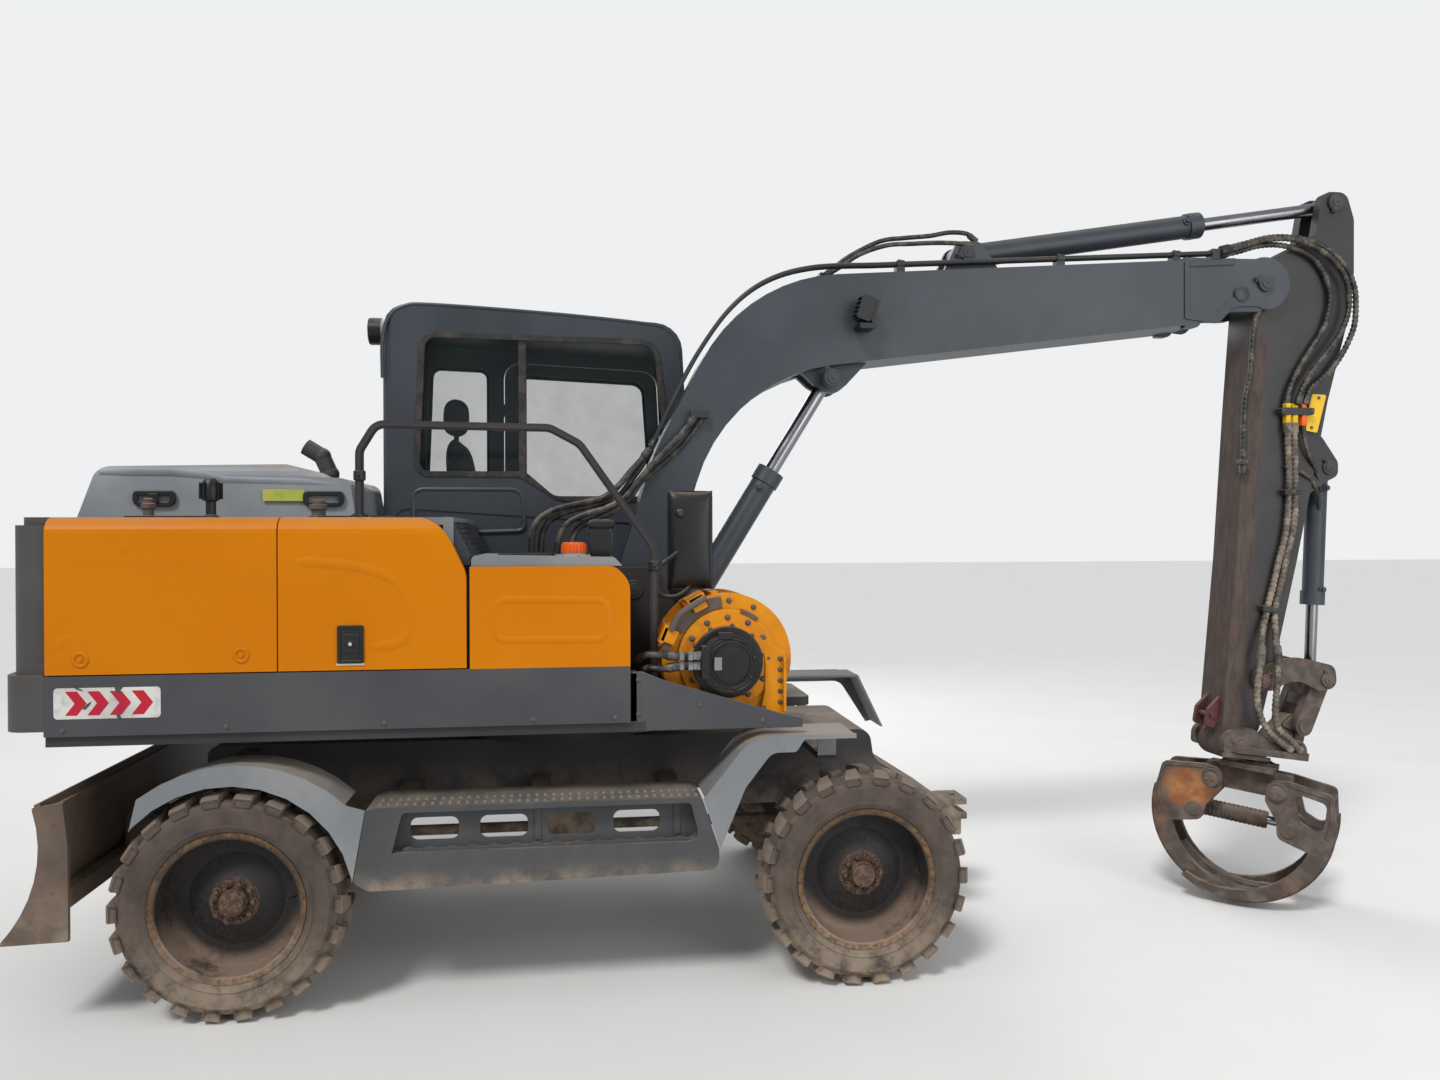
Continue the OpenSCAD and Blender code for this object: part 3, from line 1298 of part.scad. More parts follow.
chassis_frame();
front_axle();
rear_axle();
drive_line();
fenders();
side_steps();
knuckle_right();
knuckle_left();
tie_rod();
tyre_front_right();
tyre_front_left();
tyre_rear_right();
tyre_rear_left();
rim_front_right();
rim_front_left();
rim_rear_right();
rim_rear_left();
dozer_blade();
blade_barrel();
blade_rod();
platform();
counterweight();
side_skirts();
engine_deck();
engine_block();
hood();
door_right_rear();
door_right_front();
door_left();
tank_box();
exhaust();
handrail();
mirrors();
winch_housing();
winch_motor();
cab_shell();
cab_glass();
cab_door();
cab_door_glass();
seat();
cab_console();
cab_lamps();
boom();
boom_pipes();
boom_barrel();
boom_rod();
arm_barrel();
arm_rod();
arm();
tool_barrel();
tool_rod();
rocker();
link();
hanger();
grapple_frame();
jaw_left();
jaw_right();
grapple_barrel();
grapple_rod();
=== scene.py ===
"""The look of the wheeled excavator: camera, light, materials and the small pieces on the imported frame.

Metres. Places are given as in the part's source: X from the slew axis to the front, Y to the left, Z up.
at() moves such a place into the frame.
"""

from math import atan2, ceil, cos, pi, radians, sin, tau

import bmesh
import bpy
from mathutils import Euler, Matrix, Vector


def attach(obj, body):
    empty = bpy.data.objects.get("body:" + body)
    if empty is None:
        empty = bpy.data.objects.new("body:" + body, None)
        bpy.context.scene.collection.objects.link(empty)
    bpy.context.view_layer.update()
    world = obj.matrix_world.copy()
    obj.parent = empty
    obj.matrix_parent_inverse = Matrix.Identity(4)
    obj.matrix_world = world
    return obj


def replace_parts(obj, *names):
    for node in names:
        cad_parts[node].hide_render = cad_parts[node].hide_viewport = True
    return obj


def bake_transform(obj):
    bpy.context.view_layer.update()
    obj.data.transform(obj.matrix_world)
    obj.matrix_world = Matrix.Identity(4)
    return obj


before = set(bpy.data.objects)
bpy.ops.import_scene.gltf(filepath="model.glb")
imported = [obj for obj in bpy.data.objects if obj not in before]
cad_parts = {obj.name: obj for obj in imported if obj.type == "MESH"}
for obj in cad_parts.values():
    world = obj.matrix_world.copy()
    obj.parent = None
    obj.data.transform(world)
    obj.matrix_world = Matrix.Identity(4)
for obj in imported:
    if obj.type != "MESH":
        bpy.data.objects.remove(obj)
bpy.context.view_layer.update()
scene = bpy.context.scene

SLEW_X = 0.935  # how far the slew axis lies behind the middle of the frame

# Driving sizes, as in part.scad. Pins are (X, Z)
AXLE_X, AXLE_Z = 1.245, 0.436
TYRE_R, TYRE_W, RIM_R = 0.436, 0.23, 0.288
LUGS, LUG_H = 22, 0.026
TRACK = 0.915
BODY_Y = 1.0  # half width of the upper structure
HOUSE_TOP, TANK_TOP = 1.92, 1.725
CAB_REAR, CAB_RIGHT, CAB_LEFT = -0.85, 0.02, 0.995
BOOM_Y, BOOM_W, ARM_W = -0.2, 0.3, 0.2
BOOM_FOOT, ARM_PIN, HANGER_PIN = (0.33, 1.6), (3.47, 3.09), (3.345, 0.794)
BOOM_BASE, BOOM_EYE = (0.55, 1.42), (1.264, 2.582)  # pins of the boom's cylinder
ARM_BASE, HORN = (1.945, 3.205), (3.886, 3.52)  # pins of the arm's cylinder
TOOL_PIN, ROCKER_PIN, LINK_PIN = (3.862, 2.18), (3.48, 1.11), (3.82, 1.109)
WINCH, MOTOR_AT = (0.692, 1.333), (0.687, 1.323)
BOOM_SIDE = BOOM_Y - BOOM_W / 2
ARM_SIDE = BOOM_Y - ARM_W / 2


def at(x, y, z):
    return Vector((x - SLEW_X, y, z))


# Camera, floor and light

CAMERA_AT = (0.0552, -5.3226, 1.8548)
YAW, PITCH, ROLL = -7.75, 0.364, -0.122  # degrees
LENS = 27.075  # millimetres on a sensor 36 wide

camera = bpy.data.objects.new("camera", bpy.data.cameras.new("camera"))
camera.data.sensor_fit = "HORIZONTAL"
camera.data.sensor_width = 36.0
camera.data.lens = LENS
camera.data.clip_end = 200.0
camera.matrix_world = (
    Matrix.Translation(at(*CAMERA_AT))
    @ Euler((radians(90 - PITCH), 0, radians(YAW))).to_matrix().to_4x4()
    @ Matrix.Rotation(radians(ROLL), 4, "Z")
)
scene.collection.objects.link(camera)
scene.camera = camera


def lamp(name, kind, energy, place, aim, **settings):
    light = bpy.data.lights.new(name, kind)
    light.energy = energy
    for key, value in settings.items():
        setattr(light, key, value)
    obj = bpy.data.objects.new(name, light)
    obj.location = at(*place)
    obj.rotation_euler = (at(*aim) - at(*place)).to_track_quat("-Z", "Y").to_euler()
    scene.collection.objects.link(obj)


lamp("key", "SUN", 2.1, (-4, -7, 11), (0.8, 0, 1.2), angle=radians(14))
lamp("fill", "AREA", 230, (5.5, -7, 3.5), (1.2, 0, 1.4), size=5.0)
lamp("back", "AREA", 220, (0, 7, 5), (0.8, 0, 1.4), size=5.0)

world = bpy.data.worlds.new("studio")
scene.world = world
world.use_nodes = True
sky = world.node_tree
ambient = sky.nodes["Background"]
ambient.inputs["Color"].default_value = (0.92, 0.95, 1.0, 1)
ambient.inputs["Strength"].default_value = 0.55
seen = sky.nodes.new("ShaderNodeBackground")
seen.inputs["Color"].default_value = (0.86, 0.87, 0.88, 1)
path_kind = sky.nodes.new("ShaderNodeLightPath")
direct = sky.nodes.new("ShaderNodeMath")
direct.operation = "MAXIMUM"
sky.links.new(path_kind.outputs["Is Camera Ray"], direct.inputs[0])
sky.links.new(path_kind.outputs["Is Transmission Ray"], direct.inputs[1])
either = sky.nodes.new("ShaderNodeMixShader")
sky.links.new(direct.outputs[0], either.inputs[0])
sky.links.new(ambient.outputs[0], either.inputs[1])
sky.links.new(seen.outputs[0], either.inputs[2])
sky.links.new(either.outputs[0], sky.nodes["World Output"].inputs["Surface"])

scene.view_settings.view_transform = "Standard"


# Materials

def tone(code):
    """A colour as it looks on screen, "#rrggbb", in the shader's linear values."""
    values = [int(code[i : i + 2], 16) / 255 for i in (1, 3, 5)]
    return tuple(v / 12.92 if v <= 0.04045 else ((v + 0.055) / 1.055) ** 2.4 for v in values)


class Recipe:
    """The node tree of one material, with a short call for each node used here."""

    def __init__(self, name, rough=0.5, metal=0.0, coat=0.0, gloss=0.5):
        self.material = bpy.data.materials.new(name)
        self.material.use_nodes = True
        self.tree = self.material.node_tree
        self.shader = self.tree.nodes["Principled BSDF"]
        self.shader.inputs["Roughness"].default_value = rough
        self.shader.inputs["Metallic"].default_value = metal
        self.shader.inputs["Coat Weight"].default_value = coat
        self.shader.inputs["Coat Roughness"].default_value = 0.18
        self.shader.inputs["Specular IOR Level"].default_value = gloss
        coordinates = self.node("ShaderNodeTexCoord")
        self.place = coordinates.outputs["Object"]
        self.normal = coordinates.outputs["Normal"]

    def node(self, kind, **settings):
        made = self.tree.nodes.new(kind)
        for key, value in settings.items():
            setattr(made, key, value)
        return made

    def put(self, source, socket):
        if isinstance(source, bpy.types.NodeSocket):
            self.tree.links.new(source, socket)
        elif isinstance(source, tuple):
            socket.default_value = (*source, 1.0)
        else:
            socket.default_value = source

    def noise(self, scale, detail=4.0, rough=0.6, stretch=None):
        made = self.node("ShaderNodeTexNoise")
        place = self.place
        if stretch:
            mapping = self.node("ShaderNodeMapping")
            mapping.inputs["Scale"].default_value = stretch
            self.put(place, mapping.inputs["Vector"])
            place = mapping.outputs[0]
        self.put(place, made.inputs["Vector"])
        made.inputs["Scale"].default_value = scale
        made.inputs["Detail"].default_value = detail
        made.inputs["Roughness"].default_value = rough
        return made.outputs["Fac"]

    def ramp(self, value, low, high, out_low=0.0, out_high=1.0):
        made = self.node("ShaderNodeMapRange", interpolation_type="SMOOTHSTEP")
        self.put(value, made.inputs["Value"])
        for key, number in (("From Min", low), ("From Max", high), ("To Min", out_low), ("To Max", out_high)):
            made.inputs[key].default_value = number
        return made.outputs["Result"]

    def math(self, operation, a, b=0.0):
        made = self.node("ShaderNodeMath", operation=operation)
        self.put(a, made.inputs[0])
        self.put(b, made.inputs[1])
        return made.outputs[0]

    def times(self, a, b):
        return self.math("MULTIPLY", a, b)

    def plus(self, a, b):
        return self.math("ADD", a, b)

    def minus(self, a, b):
        return self.math("SUBTRACT", a, b)

    def far(self, a, b):
        """Distance from (0, 0) of the point (a, b)."""
        return self.math("SQRT", self.plus(self.times(a, a), self.times(b, b)))

    def mix(self, factor, a, b):
        made = self.node("ShaderNodeMix", data_type="RGBA")
        self.put(factor, made.inputs[0])
        self.put(a, made.inputs[6])
        self.put(b, made.inputs[7])
        return made.outputs[2]

    def axis(self, index, source=None):
        made = self.node("ShaderNodeSeparateXYZ")
        self.put(source or self.place, made.inputs[0])
        return made.outputs[index]

    def bump(self, height, strength=0.2, distance=0.002):
        made = self.node("ShaderNodeBump")
        made.inputs["Strength"].default_value = strength
        made.inputs["Distance"].default_value = distance
        self.put(height, made.inputs["Height"])
        self.put(made.outputs[0], self.shader.inputs["Normal"])

    def done(self, colour, rough=None):
        self.put(colour, self.shader.inputs["Base Color"])
        if rough is not None:
            self.put(rough, self.shader.inputs["Roughness"])
        return self.material


DUST = tone("#a08f7a")
RUST, DARK_RUST = tone("#7c4a2b"), tone("#46291c")


def painted(name, colour, worn, rough=0.42, dust=0.3, grime=0.25, rust=0.0, low_dust=None,
            coat=0.0, grain=9.0, gloss=0.35):
    """Paint with cloudy tone, dust on what faces up, grime in patches, and rust where it is chipped.
    low_dust is the pair of heights between which road dust thins out."""
    r = Recipe(name, rough, 0.0, coat, gloss)
    cloud = r.noise(grain * 0.25, 3.0)
    fine = r.noise(grain * 9, 5.0, 0.7)
    base = r.mix(r.ramp(cloud, 0.35, 0.68), tone(colour), tone(worn))
    base = r.mix(r.times(r.ramp(r.noise(grain, 6.0, 0.65), 0.5, 0.72), grime), base, tone("#2a2725"))
    up = r.ramp(r.axis(2, r.normal), 0.35, 0.95)
    lying = r.times(up, r.ramp(r.noise(grain * 0.6, 5.0), 0.3, 0.7, 0.35, 1.0))
    lying = r.times(lying, dust)
    if low_dust:
        height = r.ramp(r.axis(2), low_dust[0], low_dust[1], 1.0, 0.0)
        splash = r.times(height, r.ramp(r.noise(grain * 0.8, 7.0, 0.7), 0.35, 0.66, 0.1, 0.85))
        lying = r.math("MAXIMUM", lying, splash)
    base = r.mix(lying, base, DUST)
    if rust:
        spots = r.ramp(r.noise(grain * 3.2, 7.0, 0.75), 0.72 - 0.2 * rust, 0.78 - 0.16 * rust)
        base = r.mix(spots, base, r.mix(r.ramp(fine, 0.4, 0.6), RUST, DARK_RUST))
    r.bump(fine, 0.12, 0.0015)
    return r.done(base, r.ramp(lying, 0.0, 0.6, rough, 0.85))


def rusted(name, paint, amount=0.6, rough=0.75, bare=None):
    """Old steel that has lost part of its paint to rust and loam.
    bare is a spot rubbed to bright rust: X, Z and reach."""
    r = Recipe(name, rough, 0.1)
    big, middle, small = r.noise(4.0, 5.0, 0.55), r.noise(15.0, 6.0, 0.6), r.noise(60.0, 5.0, 0.7)
    steel = r.mix(r.ramp(middle, 0.38, 0.68), tone(paint), tone("#5f534c"))
    brown = r.mix(r.ramp(middle, 0.35, 0.65), tone("#3f2c22"), tone("#6b4934"))
    base = r.mix(r.ramp(big, 0.66 - 0.3 * amount, 0.84 - 0.3 * amount, 0.0, 0.75), steel, brown)
    base = r.mix(r.ramp(small, 0.55, 0.78, 0.0, 0.3), base, tone("#85766a"))
    if bare:
        x, z, reach = bare
        along, high = r.minus(r.axis(0), x - SLEW_X), r.minus(r.axis(2), z)
        far = r.plus(r.far(along, high), r.times(r.minus(middle, 0.5), 0.12))
        orange = r.mix(r.ramp(middle, 0.35, 0.65), tone("#8a4c27"), tone("#a8743f"))
        base = r.mix(r.ramp(far, reach, reach * 0.45, 0.0, 0.85), base, orange)
    up = r.ramp(r.axis(2, r.normal), 0.3, 1.0, 0.0, 0.55)
    base = r.mix(r.times(up, r.ramp(big, 0.35, 0.6)), base, DUST)
    r.bump(small, 0.3, 0.003)
    return r.done(base, r.ramp(small, 0.3, 0.7, 0.6, 0.92))


def polished(name, colour, rough):
    r = Recipe(name, rough, 1.0)
    streak = r.noise(60.0, 3.0, 0.5, (0.2, 1, 0.2))
    r.bump(streak, 0.05, 0.0005)
    colours = r.mix(r.ramp(streak, 0.35, 0.7), tone(colour), tone("#8e8f90"))
    return r.done(colours, r.ramp(streak, 0.3, 0.7, rough, rough + 0.12))


def rubber(name, colour, worn, dust=0.6, rough=0.82):
    r = Recipe(name, rough)
    big, fine = r.noise(6.0, 6.0, 0.7), r.noise(120.0, 4.0, 0.7)
    base = r.mix(r.ramp(big, 0.35, 0.66), tone(colour), tone(worn))
    base = r.mix(r.ramp(r.noise(14.0, 7.0, 0.75), 0.44, 0.66, 0.0, dust), base, DUST)
    r.bump(fine, 0.25, 0.0015)
    return r.done(base, r.ramp(big, 0.3, 0.7, rough - 0.08, rough + 0.08))


def from_axle(r):
    """From the side, the distance to the axle of whichever wheel the point is on, and the height over it."""
    along = r.math("ABSOLUTE", r.plus(r.axis(0), SLEW_X))
    along = r.minus(along, AXLE_X)
    height = r.minus(r.axis(2), AXLE_Z)
    return r.far(along, height), height


def wheel_rubber():
    r = Recipe("tyre_rubber", 0.86)
    radius, height = from_axle(r)
    big, fine = r.noise(7.0, 6.0, 0.7), r.noise(90.0, 5.0, 0.7)
    base = r.mix(r.ramp(big, 0.35, 0.65), tone("#39302b"), tone("#4c4039"))
    base = r.mix(r.ramp(radius, 0.385, 0.43, 0.0, 0.7), base, tone("#7b6d61"))
    low = r.ramp(height, -0.4, 0.0, 0.6, 0.08)
    base = r.mix(r.times(low, r.ramp(r.noise(11.0, 7.0, 0.7), 0.3, 0.62)), base, DUST)
    rings = r.math("SINE", r.times(radius, 620.0))
    r.bump(r.plus(fine, r.times(rings, 0.12)), 0.35, 0.0016)
    return r.done(base, r.ramp(big, 0.3, 0.7, 0.78, 0.93))


def wheel_steel():
    """Dark dish, a flange worn to rusty gold, loam along the lower side of the well and a browned hub."""
    r = Recipe("rim_steel", 0.62, 0.15)
    radius, height = from_axle(r)
    big, fine = r.noise(6.0, 6.0, 0.7), r.noise(48.0, 6.0, 0.75)
    base = r.mix(r.ramp(fine, 0.4, 0.62), tone("#1c1a1a"), tone("#2a2523"))
    well = r.times(r.ramp(radius, 0.2, 0.255), r.ramp(height, -0.02, -0.16, 0.05, 0.9))
    base = r.mix(r.times(well, r.ramp(big, 0.25, 0.5)), base, tone("#8b7767"))
    flange = r.mix(r.ramp(fine, 0.4, 0.6), tone("#7f5d33"), tone("#48362a"))
    ring = r.times(r.ramp(radius, 0.262, 0.274, 0.0, 0.9), r.ramp(big, 0.36, 0.58, 0.35, 1.0))
    base = r.mix(ring, base, flange)
    hub = r.mix(r.ramp(fine, 0.42, 0.6), tone("#3f2f28"), tone("#6f543f"))
    base = r.mix(r.ramp(radius, 0.098, 0.086, 0.0, 0.85), base, hub)
    r.bump(fine, 0.3, 0.003)
    return r.done(base, r.ramp(fine, 0.3, 0.7, 0.5, 0.85))


def arm_paint():
    """Dark grey sides, with the rear band rubbed down to rust-brown steel."""
    r = Recipe("arm_worn", 0.55, 0.05)
    z = r.axis(2)
    rear = r.plus(r.times(r.minus(z, 1.019), 0.078), 3.29 - SLEW_X)
    behind = r.minus(r.axis(0), rear)
    wander = r.times(r.minus(r.noise(9.0, 5.0), 0.5), 0.05)
    behind = r.plus(behind, wander)
    band = r.times(r.ramp(behind, 0.105, 0.075), r.ramp(z, 2.95, 2.7))
    fine, grain = r.noise(60.0, 6.0, 0.75), r.noise(20.0, 6.0, 0.7, (1.4, 1.4, 0.4))
    grey = r.mix(r.ramp(r.noise(3.0, 4.0), 0.35, 0.7), tone("#222123"), tone("#2d2a29"))
    grey = r.mix(r.ramp(z, 1.9, 1.1, 0.0, 0.35), grey, tone("#3d332d"))
    brown = r.mix(r.ramp(grain, 0.3, 0.7), tone("#3a302c"), tone("#51443d"))
    brown = r.mix(r.ramp(r.noise(5.0, 6.0, 0.7), 0.56, 0.7, 0.0, 0.6), brown, tone("#5b3a2a"))
    r.bump(r.plus(fine, r.times(grain, band)), 0.3, 0.003)
    return r.done(r.mix(band, grey, brown), r.ramp(band, 0.0, 1.0, 0.5, 0.85))


def glass():
    """Clear glass with a green tint, a film of dust and a sharp reflection."""
    r = Recipe("tinted_glass", 0.04, gloss=0.7)
    r.shader.inputs["IOR"].default_value = 1.45
    film = r.noise(5.0, 5.0, 0.6)
    r.put(r.ramp(film, 0.3, 0.8, 0.15, 0.2), r.shader.inputs["Alpha"])
    tint = r.mix(r.ramp(film, 0.3, 0.8), tone("#1a2626"), tone("#26312f"))
    return r.done(tint, r.ramp(film, 0.45, 0.8, 0.03, 0.08))


def fabric():
    r = Recipe("seat_cloth", 0.9)
    weave = r.node("ShaderNodeTexVoronoi")
    r.put(r.place, weave.inputs["Vector"])
    weave.inputs["Scale"].default_value = 380.0
    r.bump(weave.outputs["Distance"], 0.4, 0.001)
    return r.done(r.mix(r.ramp(r.noise(30.0), 0.4, 0.65), tone("#26282b"), tone("#34363a")))


FINISH = {
    "slate_grey": painted("slate_paint", "#30363c", "#3a3f45", 0.42, 0.32, 0.15),
    "orange_yellow": painted("orange_paint", "#bd6c00", "#c27300", 0.4, 0.3, 0.06, coat=0.05,
                             grain=5.0, gloss=0.1),
    "winch_yellow": painted("winch_paint", "#cf8400", "#bb7300", 0.42, 0.25, 0.4, rust=0.45, gloss=0.25),
    "worn_grey": painted("worn_grey_paint", "#707477", "#838485", 0.55, 0.6, 0.15, rust=0.06,
                         low_dust=(0.42, 0.66)),
    "chassis_black": painted("chassis_paint", "#2b2a2b", "#383536", 0.6, 0.6, 0.3, rust=0.22,
                             low_dust=(0.4, 0.9)),
    "rod_chrome": polished("rod_chrome_finish", "#8b8b8f", 0.18),
    "tyre_rubber": wheel_rubber(),
    "rim_dark": wheel_steel(),
    "window_glass": glass(),
    "arm_grey": painted("boom_paint", "#2b3035", "#363b41", 0.4, 0.5, 0.15),
    "grapple_rust": rusted("grapple_steel", "#433a34", 0.5),
    "interior_black": painted("interior_plastic", "#232527", "#2c2e30", 0.6, 0.2, 0.1),
    "seat_fabric": fabric(),
    "pipe_steel": painted("pipe_paint", "#1f2123", "#2c2d2f", 0.45, 0.5, 0.2),
    "engine_iron": painted("engine_paint", "#333436", "#3f3d3b", 0.6, 0.5, 0.4),
    "exhaust_steel": painted("exhaust_finish", "#3a3a3b", "#4a4542", 0.6, 0.5, 0.3, rust=0.1),
    "lamp_black": painted("lamp_plastic", "#161718", "#202122", 0.4, 0.4, 0.1),
}
ARM = arm_paint()
JAW = rusted("jaw_steel", "#433a34", 0.5, bare=(3.184, 0.547, 0.13))
HOOD = painted("hood_paint", "#75797d", "#868a8d", 0.42, 0.6, 0.08)
STEP = painted("step_paint", "#3c3d3f", "#4a4a4b", 0.55, 0.45, 0.25, rust=0.08, low_dust=(0.44, 0.58))
MOTOR = painted("motor_paint", "#161415", "#241f1e", 0.38, 0.3, 0.3)
SKIRT = painted("skirt_paint", "#3d3e42", "#484849", 0.45, 0.35, 0.2)
TAIL = painted("tail_paint", "#43413f", "#504d4a", 0.5, 0.45, 0.3, rust=0.12)
BLADE = painted("blade_paint", "#483f39", "#6a594c", 0.6, 0.6, 0.35, rust=0.7, low_dust=(0.3, 0.6))
HOSE = rubber("hose_rubber", "#131415", "#1e1e1f", 0.3, 0.5)
OLD_HOSE = rubber("guarded_hose", "#2d2a27", "#5d564f", 0.65, 0.7)
SEAL = rubber("window_seal", "#101112", "#18191b", 0.1, 0.6)
BRIGHT = polished("bright_steel", "#9c9d9b", 0.3)
BOLT = rusted("bolt_steel", "#4b4743", 0.35)
PIN = rusted("pin_steel", "#574d46", 0.6)
WHITE_TAPE = painted("white_tape", "#c9c7c2", "#b3b0aa", 0.35, 0.2, 0.25, grain=24.0)
RED_TAPE = painted("red_tape", "#b4132b", "#a51430", 0.35, 0.15, 0.15, grain=24.0)
LEMON = painted("reflector_film", "#b9bb4e", "#a5a84a", 0.3, 0.2, 0.2)
TAG = painted("yellow_tag", "#d8ae14", "#c49b12", 0.4, 0.15, 0.1)
CAP = painted("filler_cap", "#d8570c", "#c94e0b", 0.4, 0.15, 0.1)
MIRROR = polished("mirror_face", "#c7cbcd", 0.04)
LENS_GLASS = painted("lamp_lens", "#b8bcc0", "#a9adb2", 0.12, 0.1, 0.05, coat=0.6, gloss=0.6)

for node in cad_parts.values():
    for cell in node.material_slots:
        slot = cell.material.name.split(".")[0]
        cell.link = "OBJECT"
        cell.material = FINISH[slot]
OWN_LOOK = {"arm": ARM, "hood": HOOD, "side_skirts": SKIRT, "counterweight": TAIL, "dozer_blade": BLADE,
            "side_steps": STEP, "winch_motor": MOTOR, "jaw_left": JAW}
for name, material in OWN_LOOK.items():
    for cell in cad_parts[name].material_slots:
        cell.material = material

floor_mesh = bpy.data.meshes.new("floor")
floor_mesh.from_pydata([(-60, -60, 0), (60, -60, 0), (60, 60, 0), (-60, 60, 0)], [], [(0, 1, 2, 3)])
floor = bpy.data.objects.new("floor", floor_mesh)
scene.collection.objects.link(floor)
ground = Recipe("pale_floor", 0.9)
pale = ground.mix(ground.noise(1.2, 3.0), (0.66, 0.65, 0.63), (0.72, 0.71, 0.69))
floor_mesh.materials.append(ground.done(pale))


# Building pieces

def finish_piece(name, bm, slot, body, sharp=35, look=None, bevel=0.0, across=None):
    """Turns bm into a piece that rides on a body, or, given across=(body, body, start, end), one that stays
    where it is built and rides on no body; the bodies and places in across are not used.
    look is its material, where that isn't the slot's own."""
    bmesh.ops.recalc_face_normals(bm, faces=bm.faces)
    mesh = bpy.data.meshes.new(name)
    bm.to_mesh(mesh)
    bm.free()
    mesh.materials.append(look or FINISH[slot])
    mesh.shade_smooth()
    mesh.set_sharp_from_angle(angle=radians(sharp))
    piece = bpy.data.objects.new(name, mesh)
    scene.collection.objects.link(piece)
    if bevel:
        edge = piece.modifiers.new("edges", "BEVEL")
        edge.width = bevel
        edge.segments = 2
        edge.limit_method = "ANGLE"
        edge.angle_limit = radians(40)
    if across:
        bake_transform(piece)
    else:
        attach(piece, body)
    return piece


def frame_on(direction):
    """Two unit vectors square to direction."""
    d = Vector(direction).normalized()
    side = d.orthogonal().normalized()
    return side, d.cross(side)


def circle(bm, centre, u, v, radius, sides, turn=0.0):
    angles = [tau * k / sides + turn for k in range(sides)]
    return [bm.verts.new(centre + radius * (cos(a) * u + sin(a) * v)) for a in angles]


def skin(bm, loops, closed=False):
    """Faces between neighbouring loops of equal count, and from the last to the first if closed."""
    for a, b in zip(loops, loops[1:] + (loops[:1] if closed else [])):
        for i in range(len(a)):
            j = (i + 1) % len(a)
            bm.faces.new((a[i], a[j], b[j], b[i]))


def lathe(bm, centre, direction, profile, sides=24, turn=0.0):
    """Revolves profile, rows of (radius, distance along direction), about the line through centre."""
    d = Vector(direction).normalized()
    u, v = frame_on(d)
    rings = []
    for radius, along in profile:
        if radius <= 0:
            rings.append([bm.verts.new(centre + d * along)])
        else:
            rings.append(circle(bm, centre + d * along, u, v, radius, sides, turn))
    for a, b in zip(rings, rings[1:]):
        for i in range(sides):
            j = (i + 1) % sides
            corners = [a[i % len(a)], a[j % len(a)], b[j % len(b)], b[i % len(b)]]
            bm.faces.new(list(dict.fromkeys(corners)))
    for ring in (rings[0], rings[-1]):
        if len(ring) > 1:
            bm.faces.new(ring)


def loop_lathe(bm, centre, direction, profile, sides=64):
    """As lathe, but the profile closes on itself, as a ring's does."""
    d = Vector(direction).normalized()
    u, v = frame_on(d)
    skin(bm, [circle(bm, centre + d * along, u, v, radius, sides) for radius, along in profile], closed=True)


def bolt(bm, centre, direction, radius=0.01, height=0.01, washer=True):
    d = Vector(direction).normalized()
    if washer:
        lathe(bm, centre, d, [(radius * 1.5, -0.001), (radius * 1.5, 0.002), (radius * 1.3, 0.003)], 16)
    lathe(bm, centre, d, [(radius, 0.001), (radius, height * 0.75), (radius * 0.78, height), (0, height)], 6)


PLACING = {
    "x": lambda p, w: at(w, p[0], p[1]),
    "y": lambda p, w: at(p[0], w, p[1]),
    "z": lambda p, w: at(p[0], p[1], w),
}


def prism(bm, outline, axis, low, high):
    """An outline of (u, v) rows extruded along axis: x takes (y, z), y takes (x, z) and z takes (x, y)."""
    ends = [[bm.verts.new(PLACING[axis](p, w)) for p in outline] for w in (low, high)]
    bm.faces.new(ends[0])
    bm.faces.new(ends[1][::-1])
    skin(bm, ends)


def brick(bm, x, y, z):
    prism(bm, [(x[0], z[0]), (x[1], z[0]), (x[1], z[1]), (x[0], z[1])], "y", y[0], y[1])


def rounded(rows, steps=4):
    """An outline through rows of (u, v, corner radius)."""
    points = []
    for i, (u, v, r) in enumerate(rows):
        q = Vector((u, v))
        a = Vector(rows[i - 1][:2]) - q
        b = Vector(rows[(i + 1) % len(rows)][:2]) - q
        if r <= 0:
            points.append((u, v))
            continue
        half = a.angle(b) / 2
        reach = min(r / abs(sin(half) / cos(half)), 0.48 * min(a.length, b.length))
        r = reach * sin(half) / cos(half)
        centre = q + (a.normalized() + b.normalized()).normalized() * (r / sin(half))
        start, end = q + a.normalized() * reach - centre, q + b.normalized() * reach - centre
        first = atan2(start.y, start.x)
        sweep = (atan2(end.y, end.x) - first + 3 * pi) % tau - pi
        for k in range(steps + 1):
            angle = first + sweep * k / steps
            points.append((centre.x + r * cos(angle), centre.y + r * sin(angle)))
    return points


def box_rows(u, v, r):
    return [(u[0], v[0], r), (u[1], v[0], r), (u[1], v[1], r), (u[0], v[1], r)]


def rounded_box(u, v, r):
    return rounded(box_rows(u, v, r))


def plate(bm, corners, r, y):
    """A flat plate on the side: corners are (x, z), all of radius r, and y is its two faces."""
    prism(bm, rounded([(u, v, r) for u, v in corners]), "y", y[0], y[1])


def flowing(points, step=0.03):
    """A smooth line through points, sampled about every step."""
    rows = [2 * points[0] - points[1], *points, 2 * points[-1] - points[-2]]
    out = []
    for p0, p1, p2, p3 in zip(rows, rows[1:], rows[2:], rows[3:]):
        count = max(2, ceil((p2 - p1).length / step))
        for k in range(count):
            t = k / count
            square, cube = 2 * p0 - 5 * p1 + 4 * p2 - p3, 3 * p1 - p0 - 3 * p2 + p3
            out.append(0.5 * (2 * p1 + (p2 - p0) * t + square * t ** 2 + cube * t ** 3))
    return out + [points[-1]]


